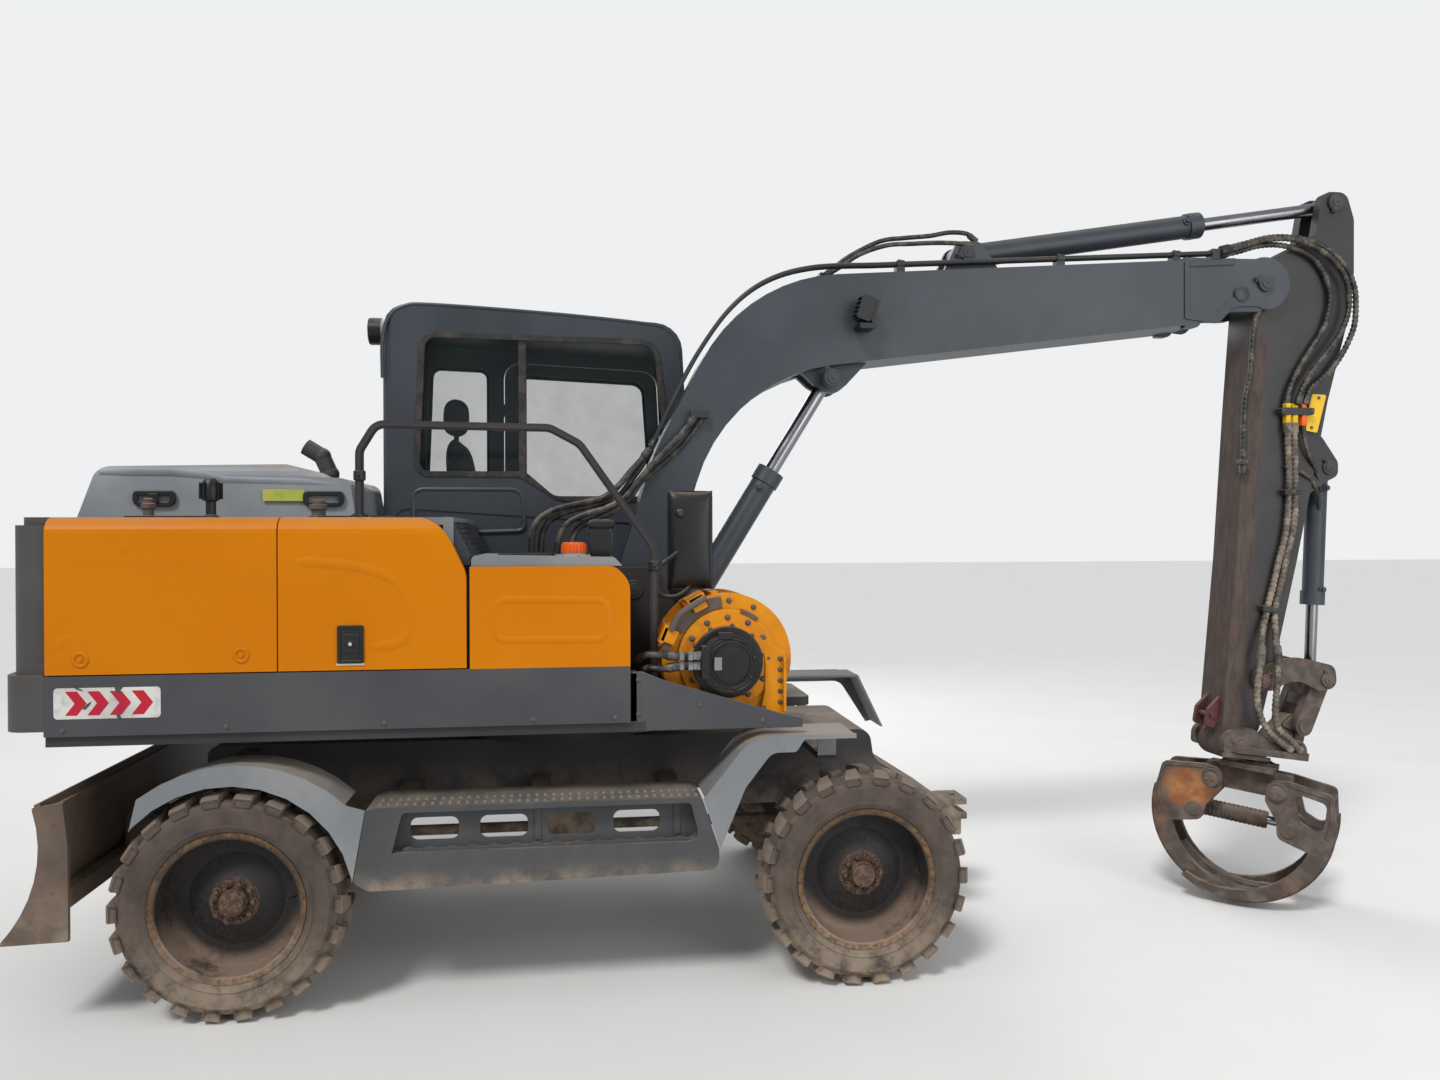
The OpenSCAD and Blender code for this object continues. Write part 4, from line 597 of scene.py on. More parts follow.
def tube(bm, line, radius, sides=10, swell=None):
    """Sweeps a circle along line. swell(distance) scales the radius, as on a hose with a spiral guard."""
    ends = zip([line[0]] + line[:-1], line[1:] + [line[-1]])
    tangents = [(b - a).normalized() for a, b in ends if (b - a).length > 0]
    u = tangents[0].orthogonal().normalized()
    rings, far = [], 0.0
    for i, (p, d) in enumerate(zip(line, tangents)):
        far += (p - line[i - 1]).length if i else 0.0
        u = (u - d * u.dot(d)).normalized()
        rings.append(circle(bm, p, u, d.cross(u), radius * (swell(far) if swell else 1.0), sides))
    skin(bm, rings)
    bm.faces.new(rings[0][::-1])
    bm.faces.new(rings[-1])


def bent(bm, points, radius, sides=8, step=0.03):
    """A smooth tube through machine places."""
    tube(bm, flowing([at(*p) for p in points], step), radius, sides)


def spiral_guard(far):
    return 1.0 + 0.13 * sin(far * tau / 0.024)


def hoses(name, routes, radius, body, look=HOSE, guarded=False, across=None):
    """Hydraulic hoses through routes of machine places, with a crimped fitting on each end."""
    bm = bmesh.new()
    sleeve = [(radius * 0.9, -0.004), (radius * 1.35, 0.0), (radius * 1.35, 0.045), (radius * 1.1, 0.05)]
    for route in routes:
        line = flowing([at(*p) for p in route], 0.006 if guarded else 0.03)
        tube(bm, line, radius, 10, spiral_guard if guarded else None)
        for end, inner in ((line[0], line[2]), (line[-1], line[-3])):
            lathe(bm, end, inner - end, sleeve, 12)
    return finish_piece(name, bm, "pipe_steel", body, 50, look, across=across)


# Tyres

def lug_block():
    """One shoulder lug at the top of the wheel, on the side of negative Y: (corners, faces)."""
    bm = bmesh.new()
    pitch = tau * TYRE_R / LUGS
    half = TYRE_W / 2
    rows = [  # distance from the middle, height over the axle, half width, shift along the tread
        (0.008, TYRE_R - LUG_H - 0.012, 0.19, 0.16), (0.01, TYRE_R - 0.001, 0.17, 0.16),
        (half * 0.5, TYRE_R, 0.2, 0.06), (half - 0.014, TYRE_R - 0.005, 0.26, 0.0),
        (half + 0.002, TYRE_R - 0.016, 0.27, 0.0), (half + 0.001, TYRE_R - 0.048, 0.24, 0.0),
        (half - 0.022, TYRE_R - LUG_H - 0.014, 0.24, 0.0),
    ]
    sides = [[bm.verts.new((s * w * pitch + shift * pitch, -y, z)) for y, z, w, shift in rows]
             for s in (-1, 1)]
    bm.faces.new(sides[0])
    bm.faces.new(sides[1][::-1])
    for i in range(len(rows)):
        j = (i + 1) % len(rows)
        face = bm.faces.new((sides[0][i], sides[0][j], sides[1][j], sides[1][i]))
        if i == 4:
            outer = face
    bmesh.ops.recalc_face_normals(bm, faces=bm.faces)
    bmesh.ops.inset_individual(bm, faces=[outer], thickness=0.007, depth=0.0)
    bmesh.ops.translate(bm, verts=outer.verts, vec=(0, 0.012, 0))
    hard = [e for e in bm.edges if e.calc_length() > 0.012 and e.calc_face_angle(0) > radians(30)]
    bmesh.ops.bevel(bm, geom=hard, offset=0.0022, segments=1, affect="EDGES")
    bm.verts.index_update()
    shape = ([v.co.copy() for v in bm.verts], [[v.index for v in f.verts] for f in bm.faces])
    bm.free()
    return shape


def tyre(name, body, x, side):
    half = TYRE_W / 2
    profile = [
        (RIM_R - 0.014, half - 0.027), (RIM_R + 0.001, half - 0.02), (RIM_R + 0.002, half - 0.012),
        (RIM_R + 0.01, half - 0.006), (RIM_R + 0.02, half - 0.001), (RIM_R + 0.027, half + 0.002),
        (RIM_R + 0.031, half - 0.002), (RIM_R + 0.045, half - 0.001), (RIM_R + 0.068, half + 0.002),
        (RIM_R + 0.088, half + 0.001), (RIM_R + 0.092, half - 0.003), (TYRE_R - LUG_H - 0.022, half - 0.006),
        (TYRE_R - LUG_H - 0.008, half - 0.016), (TYRE_R - LUG_H - 0.002, half * 0.55), (TYRE_R - LUG_H, 0.0),
    ]
    whole = profile + [(r, -y) for r, y in profile[-2::-1]]
    bm = bmesh.new()
    centre = at(x, side * TRACK, AXLE_Z)
    loop_lathe(bm, centre, (0, 1, 0), whole, 88)
    corners, faces = lug_block()
    for shoulder in (-1, 1):
        for k in range(LUGS):
            turn = (k + (0.5 if shoulder * side > 0 else 0)) * tau / LUGS
            spin = Matrix.Translation(centre) @ Matrix.Rotation(turn, 4, "Y")
            spin @= Matrix.Scale(-shoulder, 4, (0, 1, 0))
            made = [bm.verts.new(spin @ c) for c in corners]
            for face in faces:
                bm.faces.new([made[i] for i in face])
    piece = finish_piece(name, bm, "tyre_rubber", body, 32)
    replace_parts(piece, name.replace("tread", "tyre"))


def hub(name, body, x, side):
    """Wheel bolts, the axle's cap with its plug, and the valve."""
    bm = bmesh.new()
    out = Vector((0, side, 0))
    for k in range(10):
        angle = tau * k / 10
        spot = at(x + 0.075 * cos(angle), side * (TRACK + 0.022), AXLE_Z + 0.075 * sin(angle))
        bolt(bm, spot, out, 0.0105, 0.018)
    cap = [(0.047, 0), (0.05, 0.008), (0.046, 0.018), (0.03, 0.023), (0, 0.024)]
    lathe(bm, at(x, side * (TRACK + 0.04), AXLE_Z), out, cap, 28)
    lathe(bm, at(x + 0.02, side * (TRACK + 0.062), AXLE_Z), out, [(0.007, 0), (0.007, 0.006), (0, 0.007)], 6)
    valve = ((0.235, 0.046), (0.222, 0.075), (0.214, 0.09))
    bent(bm, [(x + dx, side * (TRACK + dy), AXLE_Z + 0.02) for dx, dy in valve], 0.005, 8, 0.01)
    finish_piece(name, bm, "rim_dark", body)


for end, x in (("front", AXLE_X), ("rear", -AXLE_X)):
    for hand, side in (("right", -1), ("left", 1)):
        tyre(f"tread_{end}_{hand}", f"wheel_{end}_{hand}", x, side)
        hub(f"hub_{end}_{hand}", f"wheel_{end}_{hand}", x, side)


# Shared shapes of the details

SIDE_Y = -BODY_Y
OUT = (0, -1, 0)  # away from the right side
UP = (0, 0, 1)
AXES = ((1, 0, 0), (0, 1, 0), UP)


def bolt_ring(bm, centre, out, radius, count, size=0.008, height=0.009, turn=0.0):
    """Bolts in a circle about centre, on a face that looks along out."""
    u, v = frame_on(out)
    for k in range(count):
        angle = tau * k / count + turn
        bolt(bm, centre + radius * (cos(angle) * u + sin(angle) * v), out, size, height)


def ridge(bm, path, half, height, y, closed=False, out=-1):
    """A soft pressed swell along path, rows of (x, z), on the side face at y.
    It fades at its ends unless closed."""
    across = [(-1.0, -0.1), (-0.55, 0.45), (0.0, 1.0), (0.55, 0.45), (1.0, -0.1)]
    count = len(path)
    rows = []
    for i, (x, z) in enumerate(path):
        ahead = path[(i + 1) % count] if closed or i < count - 1 else path[i]
        back = path[i - 1] if closed or i else path[i]
        along = Vector((ahead[0] - back[0], ahead[1] - back[1])).normalized()
        fade = 1.0 if closed else min(1.0, 4.0 * sin(pi * (i + 0.02) / (count - 0.96)))
        wide = half * (0.3 + 0.7 * fade)
        rows.append([
            bm.verts.new(at(x - along.y * w * wide, y + out * height * h * fade, z + along.x * w * wide))
            for w, h in across
        ])
    for a, b in zip(rows, rows[1:] + (rows[:1] if closed else [])):
        for k in range(len(across) - 1):
            bm.faces.new((a[k], a[k + 1], b[k + 1], b[k]))


def grown(rows, by):
    """An outline of four or more (u, v, radius) rows, moved outwards from its middle by the same amount."""
    mid_u = (min(r[0] for r in rows) + max(r[0] for r in rows)) / 2
    mid_v = (min(r[1] for r in rows) + max(r[1] for r in rows)) / 2
    return [(u + (by if u > mid_u else -by), v + (by if v > mid_v else -by), max(0.004, r + by))
            for u, v, r in rows]


def frame_strip(bm, rows, outer, inner, axis, low, high):
    """A flat frame between the outline grown by outer and by inner."""
    big, small = rounded(grown(rows, outer), 5), rounded(grown(rows, inner), 5)
    lines = ((big, low), (big, high), (small, high), (small, low))
    skin(bm, [[bm.verts.new(PLACING[axis](p, w)) for p in line] for line, w in lines], closed=True)


def pillow(bm, centre, axes, halves, crown=0.0, channels=(), power=5.0, grid=26):
    """A stuffed form: halves along the three unit axes, crowned on both faces, drawn in at its rim.
    channels are places from -1 to 1 along the first axis where a seam is sewn in."""
    u, v, w = [Vector(a).normalized() for a in axes]
    a, b, c = halves

    def height(s, t):
        edge = (max(0.0, 1 - abs(s) ** power) * max(0.0, 1 - abs(t) ** power)) ** (1 / 2.6)
        seam = sum(0.16 * 2.718 ** (-(((s - place) / 0.035) ** 2)) for place in channels)
        return edge * (1 - seam) * (1 + crown * (1 - s * s) * (1 - t * t))

    def sheet(sign):
        rows = []
        for i in range(grid + 1):
            s = sin(pi / 2 * (2 * i / grid - 1))
            row = []
            for j in range(grid + 1):
                t = sin(pi / 2 * (2 * j / grid - 1))
                pull = 1 - 0.03 * (1 - abs(s) ** 2) * abs(t) ** 8
                draw = 1 - 0.03 * (1 - abs(t) ** 2) * abs(s) ** 8
                spot = centre + u * a * s * draw + v * b * t * pull + w * c * sign * height(s, t)
                row.append(bm.verts.new(spot))
            rows.append(row)
        for i in range(grid):
            for j in range(grid):
                bm.faces.new((rows[i][j], rows[i + 1][j], rows[i + 1][j + 1], rows[i][j + 1]))

    sheet(1)
    sheet(-1)
    bmesh.ops.remove_doubles(bm, verts=bm.verts, dist=0.0004)


# Doors, tank box and skirt on the right side

LATCH = [(0.031, -0.002), (0.031, 0.002), (0.027, 0.006), (0.021, 0.006), (0.017, 0.001), (0.01, 0.001),
         (0.009, 0.006), (0, 0.007)]
TOP_CREASE = [(-1.86, 1.752), (-1.7, 1.757), (-1.5, 1.758), (-1.3, 1.757)]


def latches(name, body, side, spots):
    bm = bmesh.new()
    for x, z in spots:
        lathe(bm, at(x, side * BODY_Y, z), (0, side, 0), LATCH, 28)
    finish_piece(name, bm, "orange_yellow", body)


latches("rear_door_latches", "door_right_rear", -1, ((-1.767, 1.387), (-1.195, 1.395)))

bm = bmesh.new()
ridge(bm, TOP_CREASE + [(-1.15, 1.755)], 0.02, 0.0016, SIDE_Y)
ridge(bm, [(-1.872, 1.405), (-1.85, 1.44), (-1.82, 1.462), (-1.79, 1.47)], 0.022, 0.003, SIDE_Y)
finish_piece("rear_door_crease", bm, "orange_yellow", "door_right_rear", 60)

SWOOSH = [(-1.02, 1.75), (-0.92, 1.745), (-0.8, 1.733), (-0.7, 1.708), (-0.625, 1.668), (-0.585, 1.61),
          (-0.572, 1.54), (-0.58, 1.47), (-0.615, 1.432), (-0.67, 1.422), (-0.73, 1.42)]
bm = bmesh.new()
ridge(bm, [(p.x, p.z) for p in flowing([Vector((x, 0, z)) for x, z in SWOOSH], 0.02)], 0.024, 0.0055, SIDE_Y)
finish_piece("front_door_swoosh", bm, "orange_yellow", "door_right_front", 60)

LOCK_X, LOCK_Z = (-0.842, -0.744), (1.356, 1.503)
KEY_X, KEY_Z = -0.793, 1.431
bm = bmesh.new()
prism(bm, rounded_box(LOCK_X, LOCK_Z, 0.008), "y", SIDE_Y - 0.005, SIDE_Y + 0.002)
frame_strip(bm, box_rows(LOCK_X, LOCK_Z, 0.008), 0.0, -0.012, "y", SIDE_Y - 0.009, SIDE_Y - 0.004)
prism(bm, rounded_box((-0.826, -0.76), (1.395, 1.468), 0.006), "y", SIDE_Y - 0.008, SIDE_Y - 0.004)
barrel = [(0.013, -0.002), (0.013, 0.003), (0.01, 0.005), (0, 0.005)]
lathe(bm, at(KEY_X, SIDE_Y - 0.008, KEY_Z), OUT, barrel, 20)
finish_piece("front_door_lock", bm, "lamp_black", "door_right_front", bevel=0.0012)
bm = bmesh.new()
lathe(bm, at(KEY_X, SIDE_Y - 0.0125, KEY_Z), OUT, [(0.007, -0.001), (0.007, 0.0015), (0, 0.002)], 16)
brick(bm, (LOCK_X[0] - 0.003, LOCK_X[1] + 0.003), (SIDE_Y - 0.004, SIDE_Y + 0.002), (1.349, 1.356))
finish_piece("front_door_lock_trim", bm, "lamp_black", "door_right_front", look=WHITE_TAPE)

bm = bmesh.new()
EMBOSS = [(-0.243, 1.437, 0.036), (0.186, 1.432, 0.036), (0.186, 1.59, 0.036), (-0.243, 1.595, 0.036)]
ridge(bm, rounded(EMBOSS, 6), 0.017, 0.0045, SIDE_Y, closed=True)
finish_piece("tank_box_pressing", bm, "orange_yellow", "upper", 60)

# Cap, breather and step pads on the tank box

FILLER = (0.06, -0.86)
CAP_R = 0.049
bm = bmesh.new()
lathe(bm, at(*FILLER, 1.7735), UP, [(0.046, 0), (CAP_R, 0.004), (CAP_R, 0.036), (0.046, 0.044),
                                    (0.036, 0.046), (0.033, 0.041), (0, 0.041)], 48)
for k in range(24):
    angle = tau * k / 24
    spot = at(FILLER[0] + CAP_R * cos(angle), FILLER[1] + CAP_R * sin(angle), 1.7775)
    lathe(bm, spot, UP, [(0.0024, 0), (0.0024, 0.032), (0, 0.033)], 6)
finish_piece("filler_cap", bm, "orange_yellow", "upper", look=CAP)
bm = bmesh.new()
lathe(bm, at(*FILLER, 1.752), UP, [(0.072, 0), (0.072, 0.008), (0.064, 0.014), (0.05, 0.018), (0.05, 0.024),
                                   (0, 0.024)], 40)
bolt_ring(bm, at(*FILLER, 1.763), UP, 0.063, 6, 0.005, 0.006)
finish_piece("filler_flange", bm, "slate_grey", "upper", look=HOOD)

bm = bmesh.new()
pillow(bm, at(0.17, -0.83, 1.828), AXES, (0.05, 0.045, 0.072), 0.04, (), 7.0, 16)
pillow(bm, at(0.172, -0.83, 1.892), AXES, (0.056, 0.051, 0.02), 0.1, (), 6.0, 16)
finish_piece("breather_cover", bm, "lamp_black", "upper", 60)

bm = bmesh.new()
for x0, x1 in ((-1.64, -1.31), (-0.93, -0.8), (-0.73, -0.6)):
    prism(bm, rounded_box((x0, x1), (-0.93, -0.898), 0.008), "z", HOUSE_TOP - 0.001, HOUSE_TOP + 0.006)
for y in (-0.8, -0.66):
    prism(bm, rounded_box((-0.25, -0.02), (y, y + 0.09), 0.012), "z", TANK_TOP + 0.04, TANK_TOP + 0.047)
finish_piece("deck_pads", bm, "lamp_black", "upper", look=SEAL, bevel=0.0015)

# Slanted panel between the engine deck and the tank box, with its louvres

SLOPE = [(-0.452, 1.922, 0.0), (-0.425, 1.922, 0.02), (-0.348, 1.776, 0.02), (-0.348, 1.728, 0.0),
         (-0.405, 1.728, 0.0)]
bm = bmesh.new()
prism(bm, rounded(SLOPE), "y", -0.925, -0.05)
finish_piece("deck_slope", bm, "slate_grey", "upper", bevel=0.002)
bm = bmesh.new()
for y0, y1 in ((-0.9, -0.64), (-0.6, -0.34)):
    for k in range(6):
        x, z = -0.4185 + 0.0115 * k, 1.906 - 0.0215 * k
        slat = [(x, z), (x + 0.0075, z - 0.013), (x + 0.01, z - 0.008), (x + 0.004, z + 0.002)]
        prism(bm, slat, "y", y0, y1)
finish_piece("deck_slope_louvres", bm, "lamp_black", "upper")

# Marker tape with four arrows, worn through in places

TAPE_X, TAPE_Z = (-1.86, -1.484), (1.166, 1.282)
SCRAPES = [[(-1.65, 1.292), (-1.632, 1.3), (-1.612, 1.288), (-1.628, 1.268), (-1.618, 1.256), (-1.64, 1.262)],
           [(-1.76, 1.205), (-1.742, 1.222), (-1.726, 1.232), (-1.735, 1.215), (-1.75, 1.2)],
           [(-1.64, 1.178), (-1.632, 1.184), (-1.622, 1.166), (-1.634, 1.16)],
           [(-1.79, 1.29), (-1.762, 1.276), (-1.756, 1.268), (-1.784, 1.28)]]
bm = bmesh.new()
prism(bm, rounded_box(TAPE_X, TAPE_Z, 0.014), "y", SIDE_Y - 0.0014, SIDE_Y + 0.001)
finish_piece("marker_tape", bm, "lamp_black", "upper", look=WHITE_TAPE)
bm = bmesh.new()
for k in range(4):
    x, low, mid, high = TAPE_X[0] + 0.04 + 0.078 * k, TAPE_Z[0] + 0.013, sum(TAPE_Z) / 2, TAPE_Z[1] - 0.013
    arrow = [(x, low), (x + 0.042, low), (x + 0.076, mid), (x + 0.042, high), (x, high), (x + 0.034, mid)]
    prism(bm, arrow, "y", SIDE_Y - 0.002, SIDE_Y - 0.001)
finish_piece("marker_arrows", bm, "lamp_black", "upper", look=RED_TAPE)
bm = bmesh.new()
for scrape in SCRAPES:
    prism(bm, scrape, "y", SIDE_Y - 0.0026, SIDE_Y - 0.0012)
finish_piece("marker_scrapes", bm, "slate_grey", "upper", look=SKIRT)

# The skirt goes on under the winch as a plate that slopes down

PLATE_Y = (-0.984, -0.968)
bm = bmesh.new()
prism(bm, [(0.284, 1.062), (0.284, 1.3), (0.33, 1.3), (0.42, 1.262), (0.9, 1.118), (0.985, 1.1),
           (0.985, 1.062)], "y", *PLATE_Y)
brick(bm, (0.284, 0.31), (PLATE_Y[0], -0.88), (1.1, 1.296))
finish_piece("front_skirt", bm, "slate_grey", "upper", look=SKIRT, bevel=0.002)
bm = bmesh.new()
for x, z in ((0.315, 1.268), (0.315, 1.13), (0.56, 1.16), (0.82, 1.092)):
    bolt(bm, at(x, PLATE_Y[0], z), OUT, 0.007, 0.007)
for side, places in ((-1, (-1.83, -1.25, -0.67, -0.1, 0.22)), (1, (-1.83, -1.25))):
    for x in places:
        bolt(bm, at(x, side * BODY_Y, 1.122), (0, side, 0), 0.007, 0.007)
finish_piece("skirt_bolts", bm, "slate_grey", "upper", look=BOLT)

# Hood: handles, capped bolts on the deck, finned cap and reflector

HOOD_SIDE = -0.45
bm = bmesh.new()
for x in (-1.7, -1.01):
    a, b = x - 0.085, x + 0.085
    frame_strip(bm, [(a, 1.972, 0.03), (b, 1.972, 0.03), (b, 2.04, 0.02), (a, 2.04, 0.02)], 0.0, -0.02, "y",
                HOOD_SIDE - 0.012, HOOD_SIDE + 0.006)
brick(bm, (-1.72, -1.68), (HOOD_SIDE - 0.022, HOOD_SIDE - 0.004), (1.985, 2.028))
finish_piece("hood_handles", bm, "lamp_black", "hood", bevel=0.003)
bm = bmesh.new()
brick(bm, (-1.262, -1.09), (HOOD_SIDE - 0.005, HOOD_SIDE + 0.002), (1.996, 2.046))
finish_piece("hood_reflector", bm, "lamp_black", "hood", look=LEMON, bevel=0.0015)
bm = bmesh.new()
ridge(bm, [(-1.93, 2.118), (-1.8, 2.122), (-1.64, 2.122), (-1.5, 2.108), (-1.42, 2.088), (-1.26, 2.084),
           (-1.1, 2.08), (-0.95, 2.066)], 0.016, 0.005, HOOD_SIDE + 0.019)
finish_piece("hood_crease", bm, "slate_grey", "hood", 60, HOOD)
bm = bmesh.new()
for x, r, tall in ((-1.655, 0.03, 0.085), (-0.99, 0.04, 0.08)):
    profile = [(r, 0), (r, 0.01), (r * 0.7, 0.014), (r * 0.7, tall * 0.45), (r * 0.95, tall * 0.5),
               (r * 0.95, tall * 0.72), (r * 0.6, tall * 0.76), (r * 0.6, tall * 0.94), (r * 0.4, tall),
               (0, tall)]
    lathe(bm, at(x, -0.64, HOUSE_TOP - 0.002), UP, profile, 24)
finish_piece("deck_bolts", bm, "slate_grey", "upper", look=PIN)
FINNED = (-1.42, -0.62)
bm = bmesh.new()
lathe(bm, at(*FINNED, HOUSE_TOP - 0.002), UP,
      [(0.032, 0), (0.03, 0.012), (0.02, 0.018), (0.02, 0.07), (0.034, 0.078), (0.038, 0.11), (0.034, 0.15),
       (0.022, 0.166), (0, 0.168)], 24)
for k in range(10):
    angle = tau * k / 10
    fin = [(FINNED[0] + r * cos(angle + d), FINNED[1] + r * sin(angle + d))
           for r, d in ((0.02, -0.12), (0.047, -0.05), (0.047, 0.05), (0.02, 0.12))]
    prism(bm, fin, "z", 2.0, 2.066)
finish_piece("deck_finned_cap", bm, "lamp_black", "upper")

# Left side: door latches and pressing

latches("left_door_latches", "door_left", 1, ((-1.76, 1.39), (-1.02, 1.39)))
bm = bmesh.new()
ridge(bm, TOP_CREASE + [(-1.1, 1.755), (-0.95, 1.75)], 0.02, 0.002, BODY_Y, out=1)
finish_piece("left_door_crease", bm, "orange_yellow", "door_left", 60)

# Handrail: clamp and feet

RAIL_Y = -0.8
bm = bmesh.new()
for x, z in ((-0.795, 2.09), (0.392, 1.72)):
    lathe(bm, at(x, RAIL_Y, z - 0.02), UP, [(0.021, 0), (0.024, 0.004), (0.024, 0.036), (0.021, 0.04)], 20)
    bolt(bm, at(x, RAIL_Y - 0.024, z), OUT, 0.006, 0.007)
for x, z in ((-0.795, HOUSE_TOP + 0.01), (0.392, 1.1103)):
    bolt_ring(bm, at(x, RAIL_Y, z), UP, 0.026, 3, 0.005, 0.007)
finish_piece("handrail_clamps", bm, "pipe_steel", "upper")


# Mirrors: domed backs, the right one's glass and bent arm

def mirror_back(name, place, turn, behind, halves, crown):
    spin = Matrix.Rotation(radians(turn), 3, "Z")
    across, forward = spin @ Vector((1, 0, 0)), spin @ Vector((0, 1, 0))
    bm = bmesh.new()
    pillow(bm, at(*place) - forward * behind, (across, UP, forward), halves, crown, (), 7.0, 22)
    finish_piece(name, bm, "lamp_black", "upper", 60)


mirror_back("mirror_back", (0.555, -0.69, 1.826), 0, 0.012, (0.096, 0.212, 0.036), 0.35)
bm = bmesh.new()
prism(bm, rounded_box((0.47, 0.64), (1.63, 2.022), 0.024), "y", -0.668, -0.6635)
finish_piece("mirror_face", bm, "lamp_black", "upper", look=MIRROR)
bm = bmesh.new()
bent(bm, [(0.404, -0.797, 1.8), (0.386, -0.792, 1.745), (0.38, -0.785, 1.68), (0.398, -0.775, 1.622),
          (0.44, -0.76, 1.588), (0.5, -0.74, 1.59), (0.545, -0.722, 1.622), (0.556, -0.712, 1.66)], 0.009,
     10, 0.015)
lathe(bm, at(0.5, -0.722, 1.94), (0.3, -1, 0),
      [(0.014, 0), (0.018, 0.006), (0.018, 0.03), (0.012, 0.036), (0, 0.036)], 16)
finish_piece("mirror_arm", bm, "pipe_steel", "upper")
mirror_back("left_mirror_back", (0.735, CAB_LEFT - 0.05, 1.89), 80, 0.006, (0.091, 0.182, 0.03), 0.3)

# Cab: window rubbers, pressed panel, roof seam, handle, wiper and lamp glass

SIDE_WINDOW = [(-0.69, 2.137, 0.06), (-0.66, 2.815, 0.07), (0.47, 2.8, 0.09), (0.555, 2.019, 0.06),
               (-0.015, 2.019, 0.09), (-0.19, 2.139, 0.09)]
DOOR_WINDOW = [(-0.25, 1.96, 0.06), (-0.25, 2.76, 0.06), (0.47, 2.73, 0.08), (0.52, 1.96, 0.06)]
REAR_LEFT_WINDOW = [(-0.77, 2.02, 0.06), (-0.74, 2.8, 0.06), (-0.41, 2.79, 0.06), (-0.41, 2.02, 0.06)]
REAR_WINDOW = box_rows((CAB_RIGHT + 0.14, CAB_LEFT - 0.14), (2.08, 2.76), 0.02)
LEFT_WALL = (CAB_LEFT - 0.012, CAB_LEFT + 0.006)
bm = bmesh.new()
frame_strip(bm, SIDE_WINDOW, 0.01, -0.018, "y", CAB_RIGHT - 0.006, CAB_RIGHT + 0.012)
frame_strip(bm, REAR_LEFT_WINDOW, 0.01, -0.018, "y", *LEFT_WALL)
frame_strip(bm, REAR_WINDOW, 0.012, -0.016, "x", CAB_REAR - 0.006, CAB_REAR + 0.012)
finish_piece("window_rubbers", bm, "lamp_black", "upper", look=SEAL, bevel=0.002)
bm = bmesh.new()
brick(bm, (-0.205, -0.165), (CAB_RIGHT + 0.012, CAB_RIGHT + 0.034), (2.135, 2.812))
finish_piece("side_window_bar", bm, "lamp_black", "upper", look=SEAL, bevel=0.004)
bm = bmesh.new()
frame_strip(bm, DOOR_WINDOW, 0.01, -0.018, "y", *LEFT_WALL)
finish_piece("door_window_rubber", bm, "lamp_black", "cab_door", look=SEAL, bevel=0.002)
bm = bmesh.new()
prism(bm, rounded_box((0.33, 0.5), (1.7, 1.76), 0.018), "y", CAB_LEFT - 0.002, CAB_LEFT + 0.008)
prism(bm, rounded_box((0.35, 0.47), (1.715, 1.74), 0.01), "y", CAB_LEFT + 0.008, CAB_LEFT + 0.026)
finish_piece("door_handle", bm, "lamp_black", "cab_door", bevel=0.003)
PRESSING = [(-0.7, 1.852, 0.03), (-0.175, 1.868, 0.03), (-0.19, 2.068, 0.05), (-0.706, 2.068, 0.05)]
bm = bmesh.new()
ridge(bm, rounded(PRESSING, 5), 0.011, 0.006, CAB_RIGHT, closed=True)
finish_piece("cab_pressing", bm, "slate_grey", "upper", 60)
ROOF_EDGE = [(-0.842, 2.6), (-0.842, 2.78), (-0.815, 2.886), (-0.745, 2.944), (-0.6, 2.955), (0.0, 2.923),
             (0.44, 2.885), (0.52, 2.858), (0.566, 2.8), (0.59, 2.6)]
bm = bmesh.new()
for y in (CAB_RIGHT + 0.004, CAB_LEFT - 0.004):
    bent(bm, [(x, y, z) for x, z in ROOF_EDGE], 0.009)
finish_piece("roof_seams", bm, "slate_grey", "upper")
bm = bmesh.new()
tube(bm, [at(0.648, 0.62, 1.7), at(0.64, 0.6, 1.78), at(0.628, 0.53, 2.05), at(0.618, 0.47, 2.32)], 0.006, 8)
tube(bm, [at(0.64, 0.47, 2.02), at(0.622, 0.47, 2.3), at(0.603, 0.47, 2.58)], 0.005, 8)
lathe(bm, at(0.64, 0.62, 1.7), (1, 0, 0), [(0.02, 0), (0.02, 0.016), (0.012, 0.022), (0, 0.022)], 16)
finish_piece("wiper", bm, "lamp_black", "upper")
REAR_LAMP = (-0.9205, 0.19, 2.85)
bm = bmesh.new()
lathe(bm, at(*REAR_LAMP), (-1, 0, 0), [(0.052, -0.004), (0.052, 0.001), (0.04, 0.006), (0.02, 0.009),
                                       (0, 0.01)], 32)
finish_piece("rear_lamp_lens", bm, "lamp_black", "upper", look=LENS_GLASS)
bm = bmesh.new()
lathe(bm, at(*REAR_LAMP), (-1, 0, 0), [(0.066, -0.052), (0.066, 0.006), (0.062, 0.01), (0.054, 0.008),
                                       (0.054, 0.0), (0, 0.0)], 40)
finish_piece("rear_lamp_rim", bm, "lamp_black", "upper")

# Seat: cushions with sewn channels on the pedestal, arm rests and levers

SEAT_Y = (CAB_RIGHT + CAB_LEFT) / 2
SEAT_Z = 1.2503
SIDEWAYS = (0, 1, 0)


def cushion(name, x, up, axes, halves, crown, channels):
    bm = bmesh.new()
    pillow(bm, at(x, SEAT_Y, SEAT_Z + up), axes, halves, crown, channels, 6.0)
    piece = finish_piece(name, bm, "seat_fabric", "upper", 70)
    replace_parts(piece, "seat")


